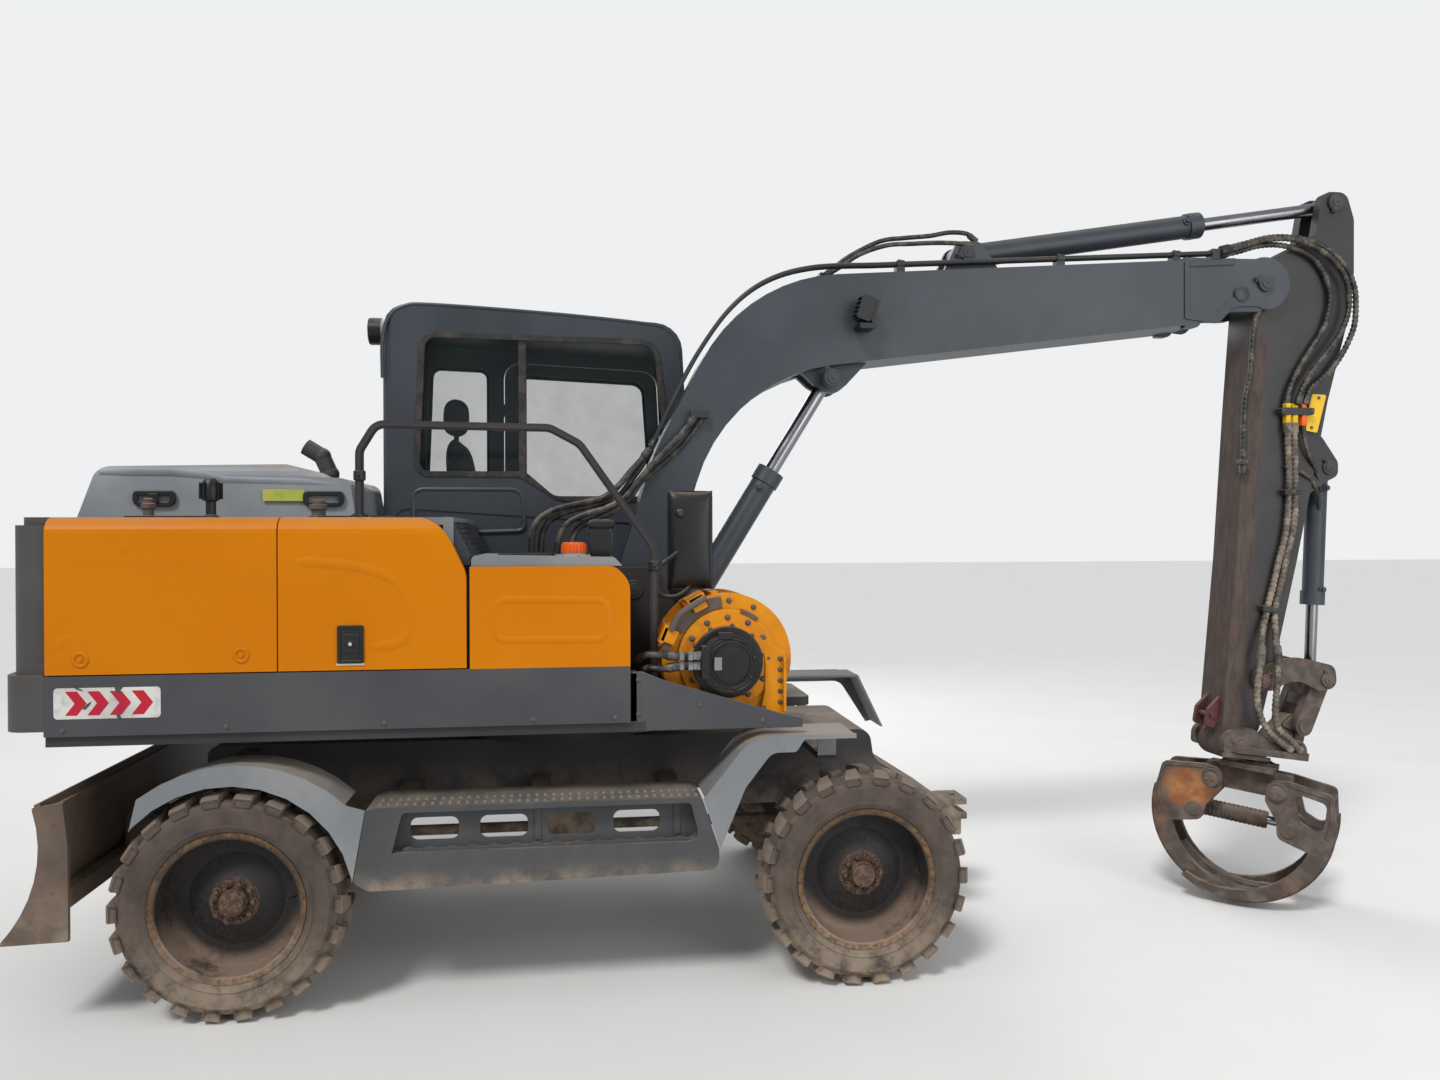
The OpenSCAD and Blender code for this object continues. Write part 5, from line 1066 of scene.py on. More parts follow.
BACK_LEAN = Vector((-0.085, 0, 0.7)).normalized()
BACK_OUT = Vector((BACK_LEAN.z, 0, -BACK_LEAN.x))
SEAMS, BACK_SEAMS = (-0.62, 0.62), (-0.6, 0.6)
cushion("seat_cushion", -0.2, 0.388, (SIDEWAYS, (1, 0, 0.03), UP), (0.236, 0.258, 0.056), 0.22, SEAMS)
cushion("seat_back", -0.5, 0.74, (SIDEWAYS, BACK_LEAN, BACK_OUT), (0.206, 0.345, 0.06), 0.2, BACK_SEAMS)
cushion("seat_headrest", -0.548, 1.21, (SIDEWAYS, UP, (1, 0, 0.1)), (0.106, 0.088, 0.052), 0.25, ())
PEDESTAL = [(-0.42, 0, 0), (0.02, 0, 0), (0.0, 0.1, 0.02), (-0.03, 0.328, 0.02), (-0.37, 0.328, 0.02),
            (-0.4, 0.1, 0.02)]
bm = bmesh.new()
prism(bm, rounded([(x, SEAT_Z + up, r) for x, up, r in PEDESTAL]), "y", SEAT_Y - 0.155, SEAT_Y + 0.155)
for k in range(7):
    z = SEAT_Z + 0.11 + 0.03 * k
    fold = rounded_box((-0.405 + 0.002 * k, 0.005 - 0.004 * k), (SEAT_Y - 0.165, SEAT_Y + 0.165), 0.03)
    prism(bm, fold, "z", z, z + 0.016)
for dy in (-0.06, 0.06):
    tube(bm, [at(-0.545, SEAT_Y + dy, SEAT_Z + 1.05), at(-0.55, SEAT_Y + dy, SEAT_Z + 1.14)], 0.007, 10)
pedestal = finish_piece("seat_pedestal", bm, "interior_black", "upper", bevel=0.003)
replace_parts(pedestal, "seat")

BELLOWS = [(0.036, 0), (0.03, 0.012), (0.034, 0.022), (0.026, 0.034), (0.029, 0.044), (0.02, 0.056),
           (0.01, 0.062), (0, 0.062)]
GRIP = [(0.014, 0), (0.022, 0.02), (0.023, 0.06), (0.02, 0.092), (0.01, 0.108), (0, 0.11)]
bm = bmesh.new()
for y in (CAB_RIGHT + 0.17, CAB_LEFT - 0.165):
    lathe(bm, at(0.06, y, SEAT_Z + 0.56), UP, BELLOWS, 20)
    lathe(bm, at(0.06, y, SEAT_Z + 0.64), (0.1, 0, 1), GRIP, 16)
    prism(bm, rounded_box((-0.4, -0.08), (y - 0.045, y + 0.045), 0.02), "z", SEAT_Z + 0.5602, SEAT_Z + 0.59)
finish_piece("lever_grips", bm, "lamp_black", "upper", 50, bevel=0.002)
bm = bmesh.new()
plate(bm, [(0.395, 1.78), (0.43, 1.78), (0.4, 1.96), (0.362, 1.96)], 0.02, (0.2, 0.4))
tube(bm, [at(0.41, 0.3, 1.78), at(0.44, 0.32, 1.7), at(0.42, 0.42, 1.66)], 0.01, 10)
finish_piece("cab_display", bm, "lamp_black", "upper", bevel=0.003)

# Hoses: from the deck to the boom's pipes, at the boom's nose, along the arm to the rotator, at the cylinders

DECK_HOSES = [
    (-0.375, [(-0.15, 1.3), (-0.14, 1.6), (-0.129, 1.745), (-0.124, 1.866), (-0.084, 1.93), (-0.004, 1.971),
              (0.141, 2.004), (0.2, 2.02), (0.262, 2.07), (0.318, 2.136)]),
    (-0.345, [(-0.11, 1.3), (-0.098, 1.6), (-0.089, 1.744), (-0.08, 1.858), (-0.036, 1.922), (0.06, 1.963),
              (0.2, 1.996), (0.275, 2.035), (0.33, 2.11)]),
    (-0.375, [(-0.04, 1.3), (-0.03, 1.6), (-0.018, 1.76), (-0.004, 1.841), (0.028, 1.898), (0.1, 1.938),
              (0.205, 1.971), (0.285, 2.015), (0.352, 2.09), (0.45, 2.205), (0.55, 2.31), (0.612, 2.388)]),
    (-0.345, [(0.03, 1.3), (0.036, 1.6), (0.042, 1.76), (0.066, 1.857), (0.116, 1.9), (0.238, 1.955),
              (0.31, 2.01), (0.368, 2.092), (0.45, 2.16), (0.56, 2.262), (0.65, 2.388)]),
]
PIPE_ENDS = [[(0.362, -0.352, 2.184), (0.409, -0.336, 2.24)],
             [(0.374, -0.322, 2.172), (0.412, -0.308, 2.242)], [], []]
HEAD_HOSES = [
    (-0.35, [(3.235, 3.238), (3.33, 3.262), (3.45, 3.3), (3.56, 3.315), (3.66, 3.305), (3.76, 3.268),
             (3.85, 3.205), (3.905, 3.13), (3.925, 3.04), (3.915, 2.94), (3.87, 2.84), (3.8, 2.75),
             (3.725, 2.66), (3.668, 2.568), (3.643, 2.492)]),
    (-0.322, [(3.235, 3.225), (3.34, 3.25), (3.45, 3.282), (3.56, 3.29), (3.66, 3.27), (3.745, 3.23),
              (3.805, 3.16), (3.838, 3.07), (3.835, 2.975), (3.8, 2.87), (3.74, 2.78), (3.675, 2.68),
              (3.622, 2.575), (3.604, 2.492)]),
    (-0.336, [(3.235, 3.252), (3.36, 3.285), (3.5, 3.322), (3.64, 3.325), (3.76, 3.3), (3.85, 3.25),
              (3.925, 3.175), (3.965, 3.085), (3.972, 2.99), (3.965, 2.9), (3.935, 2.82), (3.89, 2.74),
              (3.82, 2.65), (3.73, 2.575), (3.692, 2.495)]),
]


def level(rows):
    """Routes whose points share one y each, from rows of y and (x, z) points."""
    return [[(x, y, z) for x, z in line] for y, line in rows]


hoses("boom_foot_hoses", [line + end for line, end in zip(level(DECK_HOSES), PIPE_ENDS)], 0.0145, None,
      across=("upper", "boom", (-0.1, -0.36, 1.8), (0.36, -0.36, 2.14)))
hoses("arm_head_hoses", level(HEAD_HOSES), 0.0135, None, guarded=True,
      across=("boom", "arm", (3.45, -0.33, 3.33), (3.85, -0.33, 2.85)))
hoses("arm_hoses", [
    [(3.604, -0.326, 2.4), (3.61, -0.325, 2.3), (3.618, -0.322, 2.133), (3.611, -0.322, 1.944),
     (3.592, -0.322, 1.817), (3.56, -0.322, 1.7), (3.53, -0.322, 1.58), (3.497, -0.322, 1.46),
     (3.46, -0.34, 1.34), (3.436, -0.368, 1.24)],
    [(3.642, -0.326, 2.4), (3.648, -0.325, 2.183), (3.65, -0.322, 2.014), (3.645, -0.322, 1.9),
     (3.615, -0.322, 1.768), (3.585, -0.322, 1.64), (3.56, -0.322, 1.54), (3.541, -0.322, 1.445),
     (3.532, -0.342, 1.34), (3.526, -0.368, 1.24)],
], 0.0155, "arm", OLD_HOSE, guarded=True)
hoses("hanger_hoses", [
    [(3.436, -0.368, 1.24), (3.419, -0.374, 1.14), (3.411, -0.374, 1.06), (3.42, -0.374, 0.97),
     (3.455, -0.374, 0.89), (3.51, -0.372, 0.83), (3.56, -0.374, 0.792), (3.59, -0.354, 0.775),
     (3.596, -0.328, 0.772)],
    [(3.526, -0.368, 1.24), (3.52, -0.376, 1.14), (3.512, -0.376, 1.04), (3.508, -0.374, 0.96),
     (3.525, -0.374, 0.88), (3.575, -0.372, 0.835), (3.62, -0.374, 0.79), (3.642, -0.354, 0.769),
     (3.644, -0.328, 0.766)],
], 0.0155, None, OLD_HOSE, guarded=True, across=("arm", "hanger", (3.43, -0.35, 1.12), (3.55, -0.35, 0.84)))
hoses("arm_cylinder_hoses", [
    [(1.25, -0.2, 3.085), (1.317, -0.2, 3.14), (1.391, -0.2, 3.196), (1.541, -0.2, 3.272),
     (1.667, -0.202, 3.292), (1.79, -0.204, 3.306), (1.89, -0.204, 3.326), (1.98, -0.205, 3.322),
     (2.026, -0.206, 3.286)],
    [(1.25, -0.235, 3.08), (1.33, -0.24, 3.13), (1.43, -0.245, 3.195), (1.56, -0.25, 3.24),
     (1.68, -0.255, 3.25), (1.79, -0.28, 3.252), (1.89, -0.292, 3.25), (1.975, -0.286, 3.246),
     (2.028, -0.262, 3.238)],
], 0.0115, None, across=("boom", "arm_barrel", (1.6, -0.22, 3.27), (1.96, -0.24, 3.29)))
hoses("boom_cylinder_hoses", [
    [(0.4, -0.29, 1.1), (0.415, -0.292, 1.26), (0.47, -0.286, 1.39), (0.56, -0.272, 1.48),
     (0.606, -0.26, 1.506)],
], 0.0125, None, across=("upper", "boom_barrel", (0.42, -0.29, 1.25), (0.56, -0.27, 1.46)))
hoses("blade_cylinder_hoses", [
    [(-1.2, -0.05, 0.915), (-1.3, -0.078, 0.935), (-1.39, -0.082, 0.9), (-1.448, -0.068, 0.858),
     (-1.47, -0.052, 0.838)],
    [(-1.2, 0.05, 0.915), (-1.32, 0.082, 0.935), (-1.45, 0.086, 0.89), (-1.56, 0.078, 0.812),
     (-1.62, 0.052, 0.756)],
], 0.0115, None, across=("undercarriage", "blade_barrel", (-1.3, 0, 0.92), (-1.46, 0, 0.85)))
bm = bmesh.new()
brick(bm, (1.228, 1.262), (-0.262, -0.176), (3.06, 3.098))
brick(bm, (0.592, 0.676), (-0.392, -0.349), (2.384, 2.42))
finish_piece("hose_blocks", bm, "pipe_steel", "boom", bevel=0.002)


def seated(bm, frame_of, since=0):
    """Moves what was built round the origin into a frame of its own, from the vertex numbered since on."""
    moved = list(bm.verts)[since:]
    bmesh.ops.transform(bm, matrix=frame_of @ Matrix.Translation((SLEW_X, 0, 0)), verts=moved)


# Winch: inner ring, bolts, motor, hoses, guard plate and line guides

FACE = -0.868  # front of the winch's ring
GUARD = -0.876  # front of its guard plate
bm = bmesh.new()
loop_lathe(bm, at(MOTOR_AT[0], FACE, MOTOR_AT[1]), OUT,
           [(0.141, -0.004), (0.158, -0.004), (0.158, 0.01), (0.155, 0.013), (0.144, 0.013), (0.141, 0.01)])
loop_lathe(bm, at(WINCH[0], FACE, WINCH[1]), OUT,
           [(0.188, -0.012), (0.206, -0.012), (0.206, -0.006), (0.202, -0.002), (0.188, -0.002)])
prism(bm, rounded([(0.79, 1.452, 0.01), (0.842, 1.412, 0.01), (0.935, 1.362, 0.02), (0.935, 1.094, 0.01),
                   (0.826, 1.094, 0.01), (0.848, 1.2, 0.1), (0.85, 1.33, 0.1)]), "y", GUARD, -0.848)
brick(bm, (0.923, 0.935), (-0.9, GUARD), (1.11, 1.34))
for angle in (118, 158):
    first = len(bm.verts)
    brick(bm, (0.232, 0.292), (-0.885, -0.815), (-0.03, 0.03))
    brick(bm, (0.276, 0.296), (-0.885, -0.7), (-0.04, 0.04))
    middle = Matrix.Translation(at(WINCH[0], 0, WINCH[1]))
    seated(bm, middle @ Matrix.Rotation(radians(-angle), 4, "Y"), first)
finish_piece("winch_rings", bm, "winch_yellow", "upper", bevel=0.002)

bm = bmesh.new()
bolt_ring(bm, at(WINCH[0], FACE, WINCH[1]), OUT, 0.172, 12, 0.0085, 0.01, 0.26)
bolt_ring(bm, at(MOTOR_AT[0], FACE - 0.013, MOTOR_AT[1]), OUT, 0.15, 10, 0.0065, 0.008)
for k in range(5):
    bolt(bm, at(0.912, GUARD, 1.15 + 0.045 * k), OUT, 0.007, 0.008)
bolt(bm, at(0.842, GUARD, 1.125), OUT, 0.008, 0.009)
for k in range(3):
    angle = radians(62 + 26 * k)
    bolt(bm, at(WINCH[0] + 0.24 * cos(angle), -0.85, WINCH[1] + 0.24 * sin(angle)), OUT, 0.008, 0.009)
finish_piece("winch_bolts", bm, "worn_grey", "upper", look=BOLT)

# Browned band and strap between the line guides
BANDS = ((96, 150, 0.212, 0.262, -0.866), (128, 172, 0.246, 0.28, -0.875), (52, 74, 0.196, 0.214, -0.874))
bm = bmesh.new()
for low, high, r0, r1, y in BANDS:
    steps = [radians(low + (high - low) * k / 14) for k in range(15)]
    ring = [(r1, a) for a in steps] + [(r0, a) for a in steps[::-1]]
    prism(bm, [(WINCH[0] + r * cos(a), WINCH[1] + r * sin(a)) for r, a in ring], "y", y, -0.849)
bent(bm, [(0.455, -0.888, 1.455), (0.49, -0.892, 1.52), (0.548, -0.892, 1.56), (0.6, -0.886, 1.59)], 0.014,
     10, 0.02)
finish_piece("winch_straps", bm, "grapple_rust", "upper", look=PIN, bevel=0.002)

MOTOR_FACE = -0.9645
bm = bmesh.new()
for k in range(5):
    spot = at(MOTOR_AT[0], GUARD - 0.0095 * k, MOTOR_AT[1])
    loop_lathe(bm, spot, OUT, [(0.139, 0), (0.1465, 0.001), (0.1465, 0.004), (0.139, 0.005)], 56)
for r in (0.112, 0.098, 0.084):
    ring = [(r, -0.002), (r + 0.005, -0.002), (r + 0.004, 0.004), (r + 0.001, 0.004)]
    loop_lathe(bm, at(MOTOR_AT[0], MOTOR_FACE, MOTOR_AT[1]), OUT, ring, 56)
bolt_ring(bm, at(MOTOR_AT[0], MOTOR_FACE - 0.0005, MOTOR_AT[1]), OUT, 0.105, 8, 0.0065, 0.009, 0.2)
brick(bm, (0.572, 0.606), (-0.972, -0.9), (1.262, 1.396))
brick(bm, (0.64, 0.7), (-0.972, -0.93), (1.425, 1.45))
finish_piece("motor_fins", bm, "lamp_black", "upper", bevel=0.0015)
bm = bmesh.new()
brick(bm, (0.622, 0.652), (-0.9875, -0.984), (1.3, 1.352))
finish_piece("motor_plate", bm, "lamp_black", "upper", look=HOOD)
FITTING = [(0.021, 0), (0.021, 0.018), (0.0185, 0.02), (0.0185, 0.034), (0.0215, 0.036), (0.0215, 0.054),
           (0.018, 0.057)]
bm = bmesh.new()
for z in (1.313, 1.353):
    lathe(bm, at(0.575, -0.93, z), (-1, 0, 0), FITTING, 6)
    lathe(bm, at(0.505, -0.93, z), (-1, 0, 0), [(0.0175, 0), (0.02, 0.003), (0.02, 0.02), (0.0175, 0.023)], 6)
finish_piece("motor_fittings", bm, "rod_chrome", "upper", look=BRIGHT)
hoses("winch_hoses", [
    [(0.48, -0.93, 1.353), (0.42, -0.934, 1.36), (0.372, -0.93, 1.362), (0.333, -0.905, 1.352),
     (0.312, -0.86, 1.31), (0.318, -0.81, 1.23), (0.33, -0.76, 1.14)],
    [(0.48, -0.93, 1.313), (0.42, -0.936, 1.305), (0.378, -0.932, 1.306), (0.345, -0.9, 1.3),
     (0.332, -0.85, 1.26), (0.34, -0.8, 1.19), (0.35, -0.75, 1.13)],
], 0.015, "upper")

# Boom: smooth pipes in saddle clamps, stiffened nose, work light

PIPE_LINE = [(0.42, 2.262), (0.52, 2.478), (0.64, 2.7), (0.79, 2.905), (0.96, 3.035), (1.18, 3.103),
             (1.5, 3.125), (1.8, 3.1445), (2.4, 3.1834), (3.0, 3.2224), (3.24, 3.238)]
bm = bmesh.new()
for y in (-0.335, -0.308):
    bent(bm, [(x, y, z) for x, z in PIPE_LINE], 0.011, 12, 0.035)
    for (x, z), (x2, z2) in ((PIPE_LINE[0], PIPE_LINE[1]), (PIPE_LINE[-1], PIPE_LINE[-2])):
        d = at(x2, y, z2) - at(x, y, z)
        nut = [(0.0165, 0), (0.0165, 0.022), (0.014, 0.026), (0.014, 0.04)]
        lathe(bm, at(x, y, z) - d.normalized() * 0.012, d, nut, 6)
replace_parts(finish_piece("boom_pipe_run", bm, "pipe_steel", "boom"), "boom_pipes")


def pipe_height(x):
    return 3.125 + (x - 1.5) * 0.113 / 1.74


def boom_top(x):
    return 3.04 + (x - 0.853) * 0.172 / 2.477


SADDLES = (1.6, 2.4, 3.0)
SADDLE_Y = (-0.352, -0.291)
END_SADDLE = 3.205
bm = bmesh.new()
for x in SADDLES:
    z = pipe_height(x)
    brick(bm, (x - 0.02, x + 0.02), (-0.349, -0.294), (boom_top(x) - 0.004, z - 0.014))
    prism(bm, rounded_box(SADDLE_Y, (z - 0.014, z + 0.016), 0.008), "x", x - 0.018, x + 0.018)
brick(bm, (END_SADDLE - 0.02, END_SADDLE + 0.02), SADDLE_Y, (boom_top(END_SADDLE) - 0.004, 3.253))
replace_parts(finish_piece("pipe_clamps", bm, "pipe_steel", "boom", bevel=0.002), "boom_pipes")
bm = bmesh.new()
for x in SADDLES + (END_SADDLE,):
    bolt(bm, at(x, sum(SADDLE_Y) / 2, pipe_height(x) + 0.016), UP, 0.0065, 0.008)
finish_piece("clamp_bolts", bm, "worn_grey", "boom", look=BOLT)

NOSE_FRAME = [(3.036, 2.902, 0.01), (3.215, 2.882, 0.05), (3.3, 2.968, 0.08), (3.42, 2.972, 0.05),
              (3.47, 2.956, 0.01), (3.47, 3.01, 0.05), (3.3, 3.022, 0.08), (3.195, 2.93, 0.06),
              (3.064, 2.94, 0.01), (3.064, 3.185, 0.01), (3.036, 3.186, 0.01)]
bm = bmesh.new()
for side, out in ((BOOM_SIDE, -1), (BOOM_Y + BOOM_W / 2, 1)):
    near, far = sorted((side - 0.002 * out, side + 0.007 * out))
    prism(bm, rounded(NOSE_FRAME), "y", near, far)
    prism(bm, [(3.064, 3.158), (3.3, 3.176), (3.3, 3.202), (3.064, 3.185)], "y", near, far)
    boss = [(0.04, -0.002), (0.04, 0.01), (0.034, 0.014), (0, 0.014)]
    lathe(bm, at(3.338, side, 3.032), (0, out, 0), boss, 28)
finish_piece("boom_nose_frames", bm, "arm_grey", "boom", bevel=0.002)

LIGHT = Matrix.Translation(at(1.42, -0.412, 2.89)) @ Matrix.Rotation(radians(18), 4, "Y")
bm = bmesh.new()
prism(bm, rounded_box((-0.05, 0.02), (-0.058, 0.058), 0.012), "y", -0.042, 0.03)
rim = [(0.02, -0.05, 0.01), (0.036, -0.06, 0.004), (0.036, 0.06, 0.004), (0.02, 0.05, 0.01)]
prism(bm, rounded(rim), "y", -0.044, 0.032)
for k in range(5):
    brick(bm, (-0.058, -0.044), (-0.036, 0.024), (-0.046 + 0.021 * k, -0.04 + 0.021 * k))
seated(bm, LIGHT)
foot = [(1.372, 2.8, 0.01), (1.45, 2.8, 0.01), (1.45, 2.826, 0.004), (1.372, 2.826, 0.004)]
prism(bm, rounded(foot), "y", -0.452, -0.349)
bolt(bm, at(1.411, -0.412, 2.826), UP, 0.008, 0.012)
finish_piece("work_light", bm, "lamp_black", "boom", bevel=0.0015)
bm = bmesh.new()
lean = LIGHT.to_3x3()
for dz in (-0.028, 0.028):
    lathe(bm, at(1.42, -0.418, 2.89) + lean @ Vector((0.0365, 0, dz)), lean @ Vector((1, 0, 0)),
          [(0.025, -0.002), (0.025, 0.001), (0.016, 0.004), (0, 0.005)], 24)
finish_piece("work_light_lens", bm, "lamp_black", "boom", look=LENS_GLASS)

# Pins: flanged cap on each end, kept by a small bar with a bolt

CAP_ROWS = [(1.45, -0.006), (1.45, 0.001), (1.35, 0.004), (0.95, 0.004), (0.9, 0.009), (0.2, 0.01),
            (0.2, 0.014), (0, 0.014)]


def pin_caps(name, body, spots, look=PIN):
    """spots holds rows of pin, reach to each side of the boom's middle, radius, angle of the keeper bar."""
    bm = bmesh.new()
    for (x, z), reach, radius, angle in spots:
        a = radians(angle)
        along, square = Vector((cos(a), sin(a))), Vector((-sin(a), cos(a))) * 0.011
        foot, head = (Vector((x, z)) + along * radius * far for far in (0.7, 2.15))
        for side in (-1, 1):
            y = BOOM_Y + side * reach
            out = Vector((0, side, 0))
            lathe(bm, at(x, y, z), out, [(radius * share, up) for share, up in CAP_ROWS], 30)
            low, high = sorted((y - 0.004 * side, y + 0.006 * side))
            bar = [foot + square, foot - square, head - square, head + square]
            prism(bm, [(p.x, p.y) for p in bar], "y", low, high)
            spot = at(x + radius * 1.75 * cos(a), y, z + radius * 1.75 * sin(a))
            bolt(bm, spot + out * 0.006, out, 0.0065, 0.008, washer=False)
    finish_piece(name, bm, "worn_grey", body, look=look)


DARK_PIN = painted("painted_pin", "#2b2e32", "#3a3a3b", 0.5, 0.4, 0.3, rust=0.25)
pin_caps("boom_foot_pins", "upper", [(BOOM_FOOT, 0.2, 0.03, 150), (BOOM_BASE, 0.095, 0.026, 100)], DARK_PIN)
pin_caps("boom_pins", "boom", [(BOOM_EYE, 0.162, 0.028, 120), (ARM_BASE, 0.102, 0.026, 200),
                               (ARM_PIN, 0.162, 0.03, 165)], DARK_PIN)
pin_caps("arm_pins", "arm", [(HORN, 0.112, 0.026, 250), (TOOL_PIN, 0.092, 0.024, 120)], DARK_PIN)
pin_caps("rocker_pins", "rocker", [(ROCKER_PIN, 0.14, 0.024, 60), (LINK_PIN, 0.14, 0.024, 100)])
pin_caps("hanger_pins", "hanger", [(HANGER_PIN, 0.1455, 0.03, 150)])

# Arm: bulkhead for the hoses, unions, tag, clamps, lines to the tool cylinder and the bracket at the rear

ARM_CLAMPS = [
    ([(3.56, 2.44), (3.735, 2.44), (3.742, 2.476), (3.562, 2.476)], 0.01, 0.048),
    ([(3.582, 2.04), (3.672, 2.04), (3.672, 2.068), (3.582, 2.068)], 0.006, 0.044),
    ([(3.462, 1.462), (3.582, 1.44), (3.586, 1.466), (3.466, 1.49)], 0.006, 0.044),
    ([(3.345, 2.19), (3.395, 2.19), (3.395, 2.216), (3.345, 2.216)], 0.006, 0.044),
]
bm = bmesh.new()
for corners, r, stand in ARM_CLAMPS:
    plate(bm, corners, r, (ARM_SIDE - stand, ARM_SIDE + 0.002))
finish_piece("arm_clamps", bm, "pipe_steel", "arm", bevel=0.002)
bm = bmesh.new()
for x, z, stand in ((3.57, 2.458, 0.048), (3.728, 2.458, 0.048), (3.627, 2.054, 0.044), (3.524, 1.464, 0.044),
                    (3.37, 2.203, 0.044)):
    bolt(bm, at(x, ARM_SIDE - stand, z), OUT, 0.0065, 0.008)
finish_piece("arm_clamp_bolts", bm, "worn_grey", "arm", look=BOLT)


def unions(name, spots, r, look):
    bm = bmesh.new()
    for x, low, high in spots:
        tall = high - low
        nut = [(r, 0), (r + 0.002, 0.003), (r + 0.002, tall - 0.003), (r, tall)]
        lathe(bm, at(x, ARM_SIDE - 0.026, low), UP, nut, 6)
    finish_piece(name, bm, "lamp_black", "arm", look=look)


unions("arm_unions", [(x, *z) for z in ((2.396, 2.442), (2.474, 2.498)) for x in (3.604, 3.642)], 0.0185, TAG)
unions("arm_union_red", ((3.69, 2.386, 2.442), (3.69, 2.474, 2.5)), 0.0175, CAP)
bm = bmesh.new()
plate(bm, [(3.748, 2.549), (3.825, 2.545), (3.774, 2.354), (3.698, 2.367)], 0.008,
      (ARM_SIDE - 0.018, ARM_SIDE - 0.014))
finish_piece("arm_tag", bm, "lamp_black", "arm", look=TAG)
bm = bmesh.new()
for x, z in ((3.782, 2.53), (3.742, 2.38)):
    lathe(bm, at(x, ARM_SIDE - 0.019, z), OUT, [(0.008, -0.006), (0.008, 0.003), (0, 0.004)], 12)
    lathe(bm, at(x, ARM_SIDE, z), OUT, [(0.006, -0.002), (0.006, 0.015)], 8)
finish_piece("arm_tag_studs", bm, "worn_grey", "arm", look=BOLT)
hoses("tool_cylinder_hoses", [
    [(3.69, -0.326, 2.395), (3.696, -0.326, 2.33), (3.722, -0.322, 2.25), (3.768, -0.306, 2.185),
     (3.812, -0.28, 2.12), (3.838, -0.252, 2.06)],
    [(3.6, -0.318, 2.18), (3.65, -0.318, 2.172), (3.7, -0.314, 2.15), (3.76, -0.3, 2.112),
     (3.815, -0.272, 2.04), (3.84, -0.25, 1.975)],
], 0.0095, None, across=("arm", "tool_barrel", (3.72, -0.32, 2.26), (3.82, -0.28, 2.1)))
hoses("arm_rear_hose", [
    [(3.452, -0.322, 2.975), (3.424, -0.33, 2.885), (3.408, -0.332, 2.755), (3.4, -0.332, 2.635),
     (3.376, -0.33, 2.52), (3.368, -0.328, 2.4), (3.368, -0.326, 2.226), (3.366, -0.322, 2.15)],
], 0.0135, None, guarded=True, across=("boom", "arm", (3.45, -0.33, 2.97), (3.405, -0.33, 2.72)))

BRACKET = [(3.288, 1.03, 0.0), (3.268, 1.01, 0.02), (3.222, 0.966, 0.02), (3.206, 0.88, 0.02),
           (3.252, 0.868, 0.01), (3.276, 0.9, 0.0)]
DULL_RED = painted("dull_red", "#5a2a2b", "#42282a", 0.6, 0.3, 0.5, rust=0.5)
bm = bmesh.new()
for y in (-0.262, -0.162):
    prism(bm, rounded(BRACKET), "y", y, y + 0.024)
tube(bm, [at(3.238, -0.275, 0.935), at(3.238, -0.125, 0.935)], 0.013, 14)
bent(bm, [(3.215, -0.25, 0.885), (3.196, -0.25, 0.86), (3.188, -0.25, 0.836), (3.198, -0.25, 0.82)], 0.006,
     8, 0.008)
finish_piece("arm_rear_bracket", bm, "grapple_rust", "arm", look=DULL_RED, bevel=0.0015)


# Cylinders: gland rings with their ports

def gland(name, body, base, eye, radius, near, ports):
    """Collar with slots where the rod leaves the barrel, near metres from base to eye, and the ports."""
    start, d = at(base[0], BOOM_Y, base[1]), (at(eye[0], 0, eye[1]) - at(base[0], 0, base[1])).normalized()
    u, v = frame_on(d)
    bm = bmesh.new()
    lathe(bm, start + d * near, d, [(radius, -0.052), (radius + 0.004, -0.05), (radius + 0.004, -0.02),
                                    (radius, -0.018)], 36)
    for k in range(12):
        a = tau * k / 12
        away = cos(a) * u + sin(a) * v
        spot = start + d * (near - 0.035) + (radius + 0.003) * away
        lathe(bm, spot, away, [(0.0055, -0.002), (0.0055, 0.003), (0, 0.003)], 8)
    face = Vector(OUT) + d.cross(Vector((0, 1, 0))) * 0.25
    for far in ports:
        lathe(bm, start + d * far + face.normalized() * (radius - 0.006), face,
              [(0.02, 0), (0.02, 0.012), (0.013, 0.014), (0.013, 0.026), (0, 0.026)], 14)
    finish_piece(name, bm, "slate_grey", body)


gland("boom_cylinder_gland", "boom_barrel", BOOM_BASE, BOOM_EYE, 0.06, 0.85, (0.09, 0.76))
gland("arm_cylinder_gland", "arm_barrel", ARM_BASE, HORN, 0.06, 1.262, (0.1, 1.18))
gland("tool_cylinder_gland", "tool_barrel", TOOL_PIN, LINK_PIN, 0.05, 0.694, (0.1, 0.62))

# Hanger and rotator, in the flange's own frame

FLANGE = Matrix.Translation(at(3.5, BOOM_Y, 0.735)) @ Matrix.Rotation(radians(8), 4, "Y")
GRAPPLE = FLANGE @ Matrix.Rotation(radians(-40), 4, "Z")
bm = bmesh.new()
for k in range(12):
    a = tau * (k + 0.5) / 12
    if abs(sin(a)) > 0.6 or cos(a) > 0:
        bolt(bm, at(0.138 * cos(a), 0.138 * sin(a), 0.034), UP, 0.009, 0.012)
loop_lathe(bm, at(0, 0, 0.003), UP, [(0.112, -0.008), (0.122, -0.008), (0.122, -0.002), (0.112, -0.002)], 48)
brick(bm, (0.07, 0.165), (-0.11, -0.058), (0.034, 0.064))
for x in (0.092, 0.14):
    lathe(bm, at(x, -0.108, 0.05), OUT, [(0.018, -0.004), (0.018, 0.012), (0.015, 0.014), (0.015, 0.02)], 6)
seated(bm, FLANGE)
finish_piece("rotator_bolts", bm, "grapple_rust", "hanger", look=PIN)
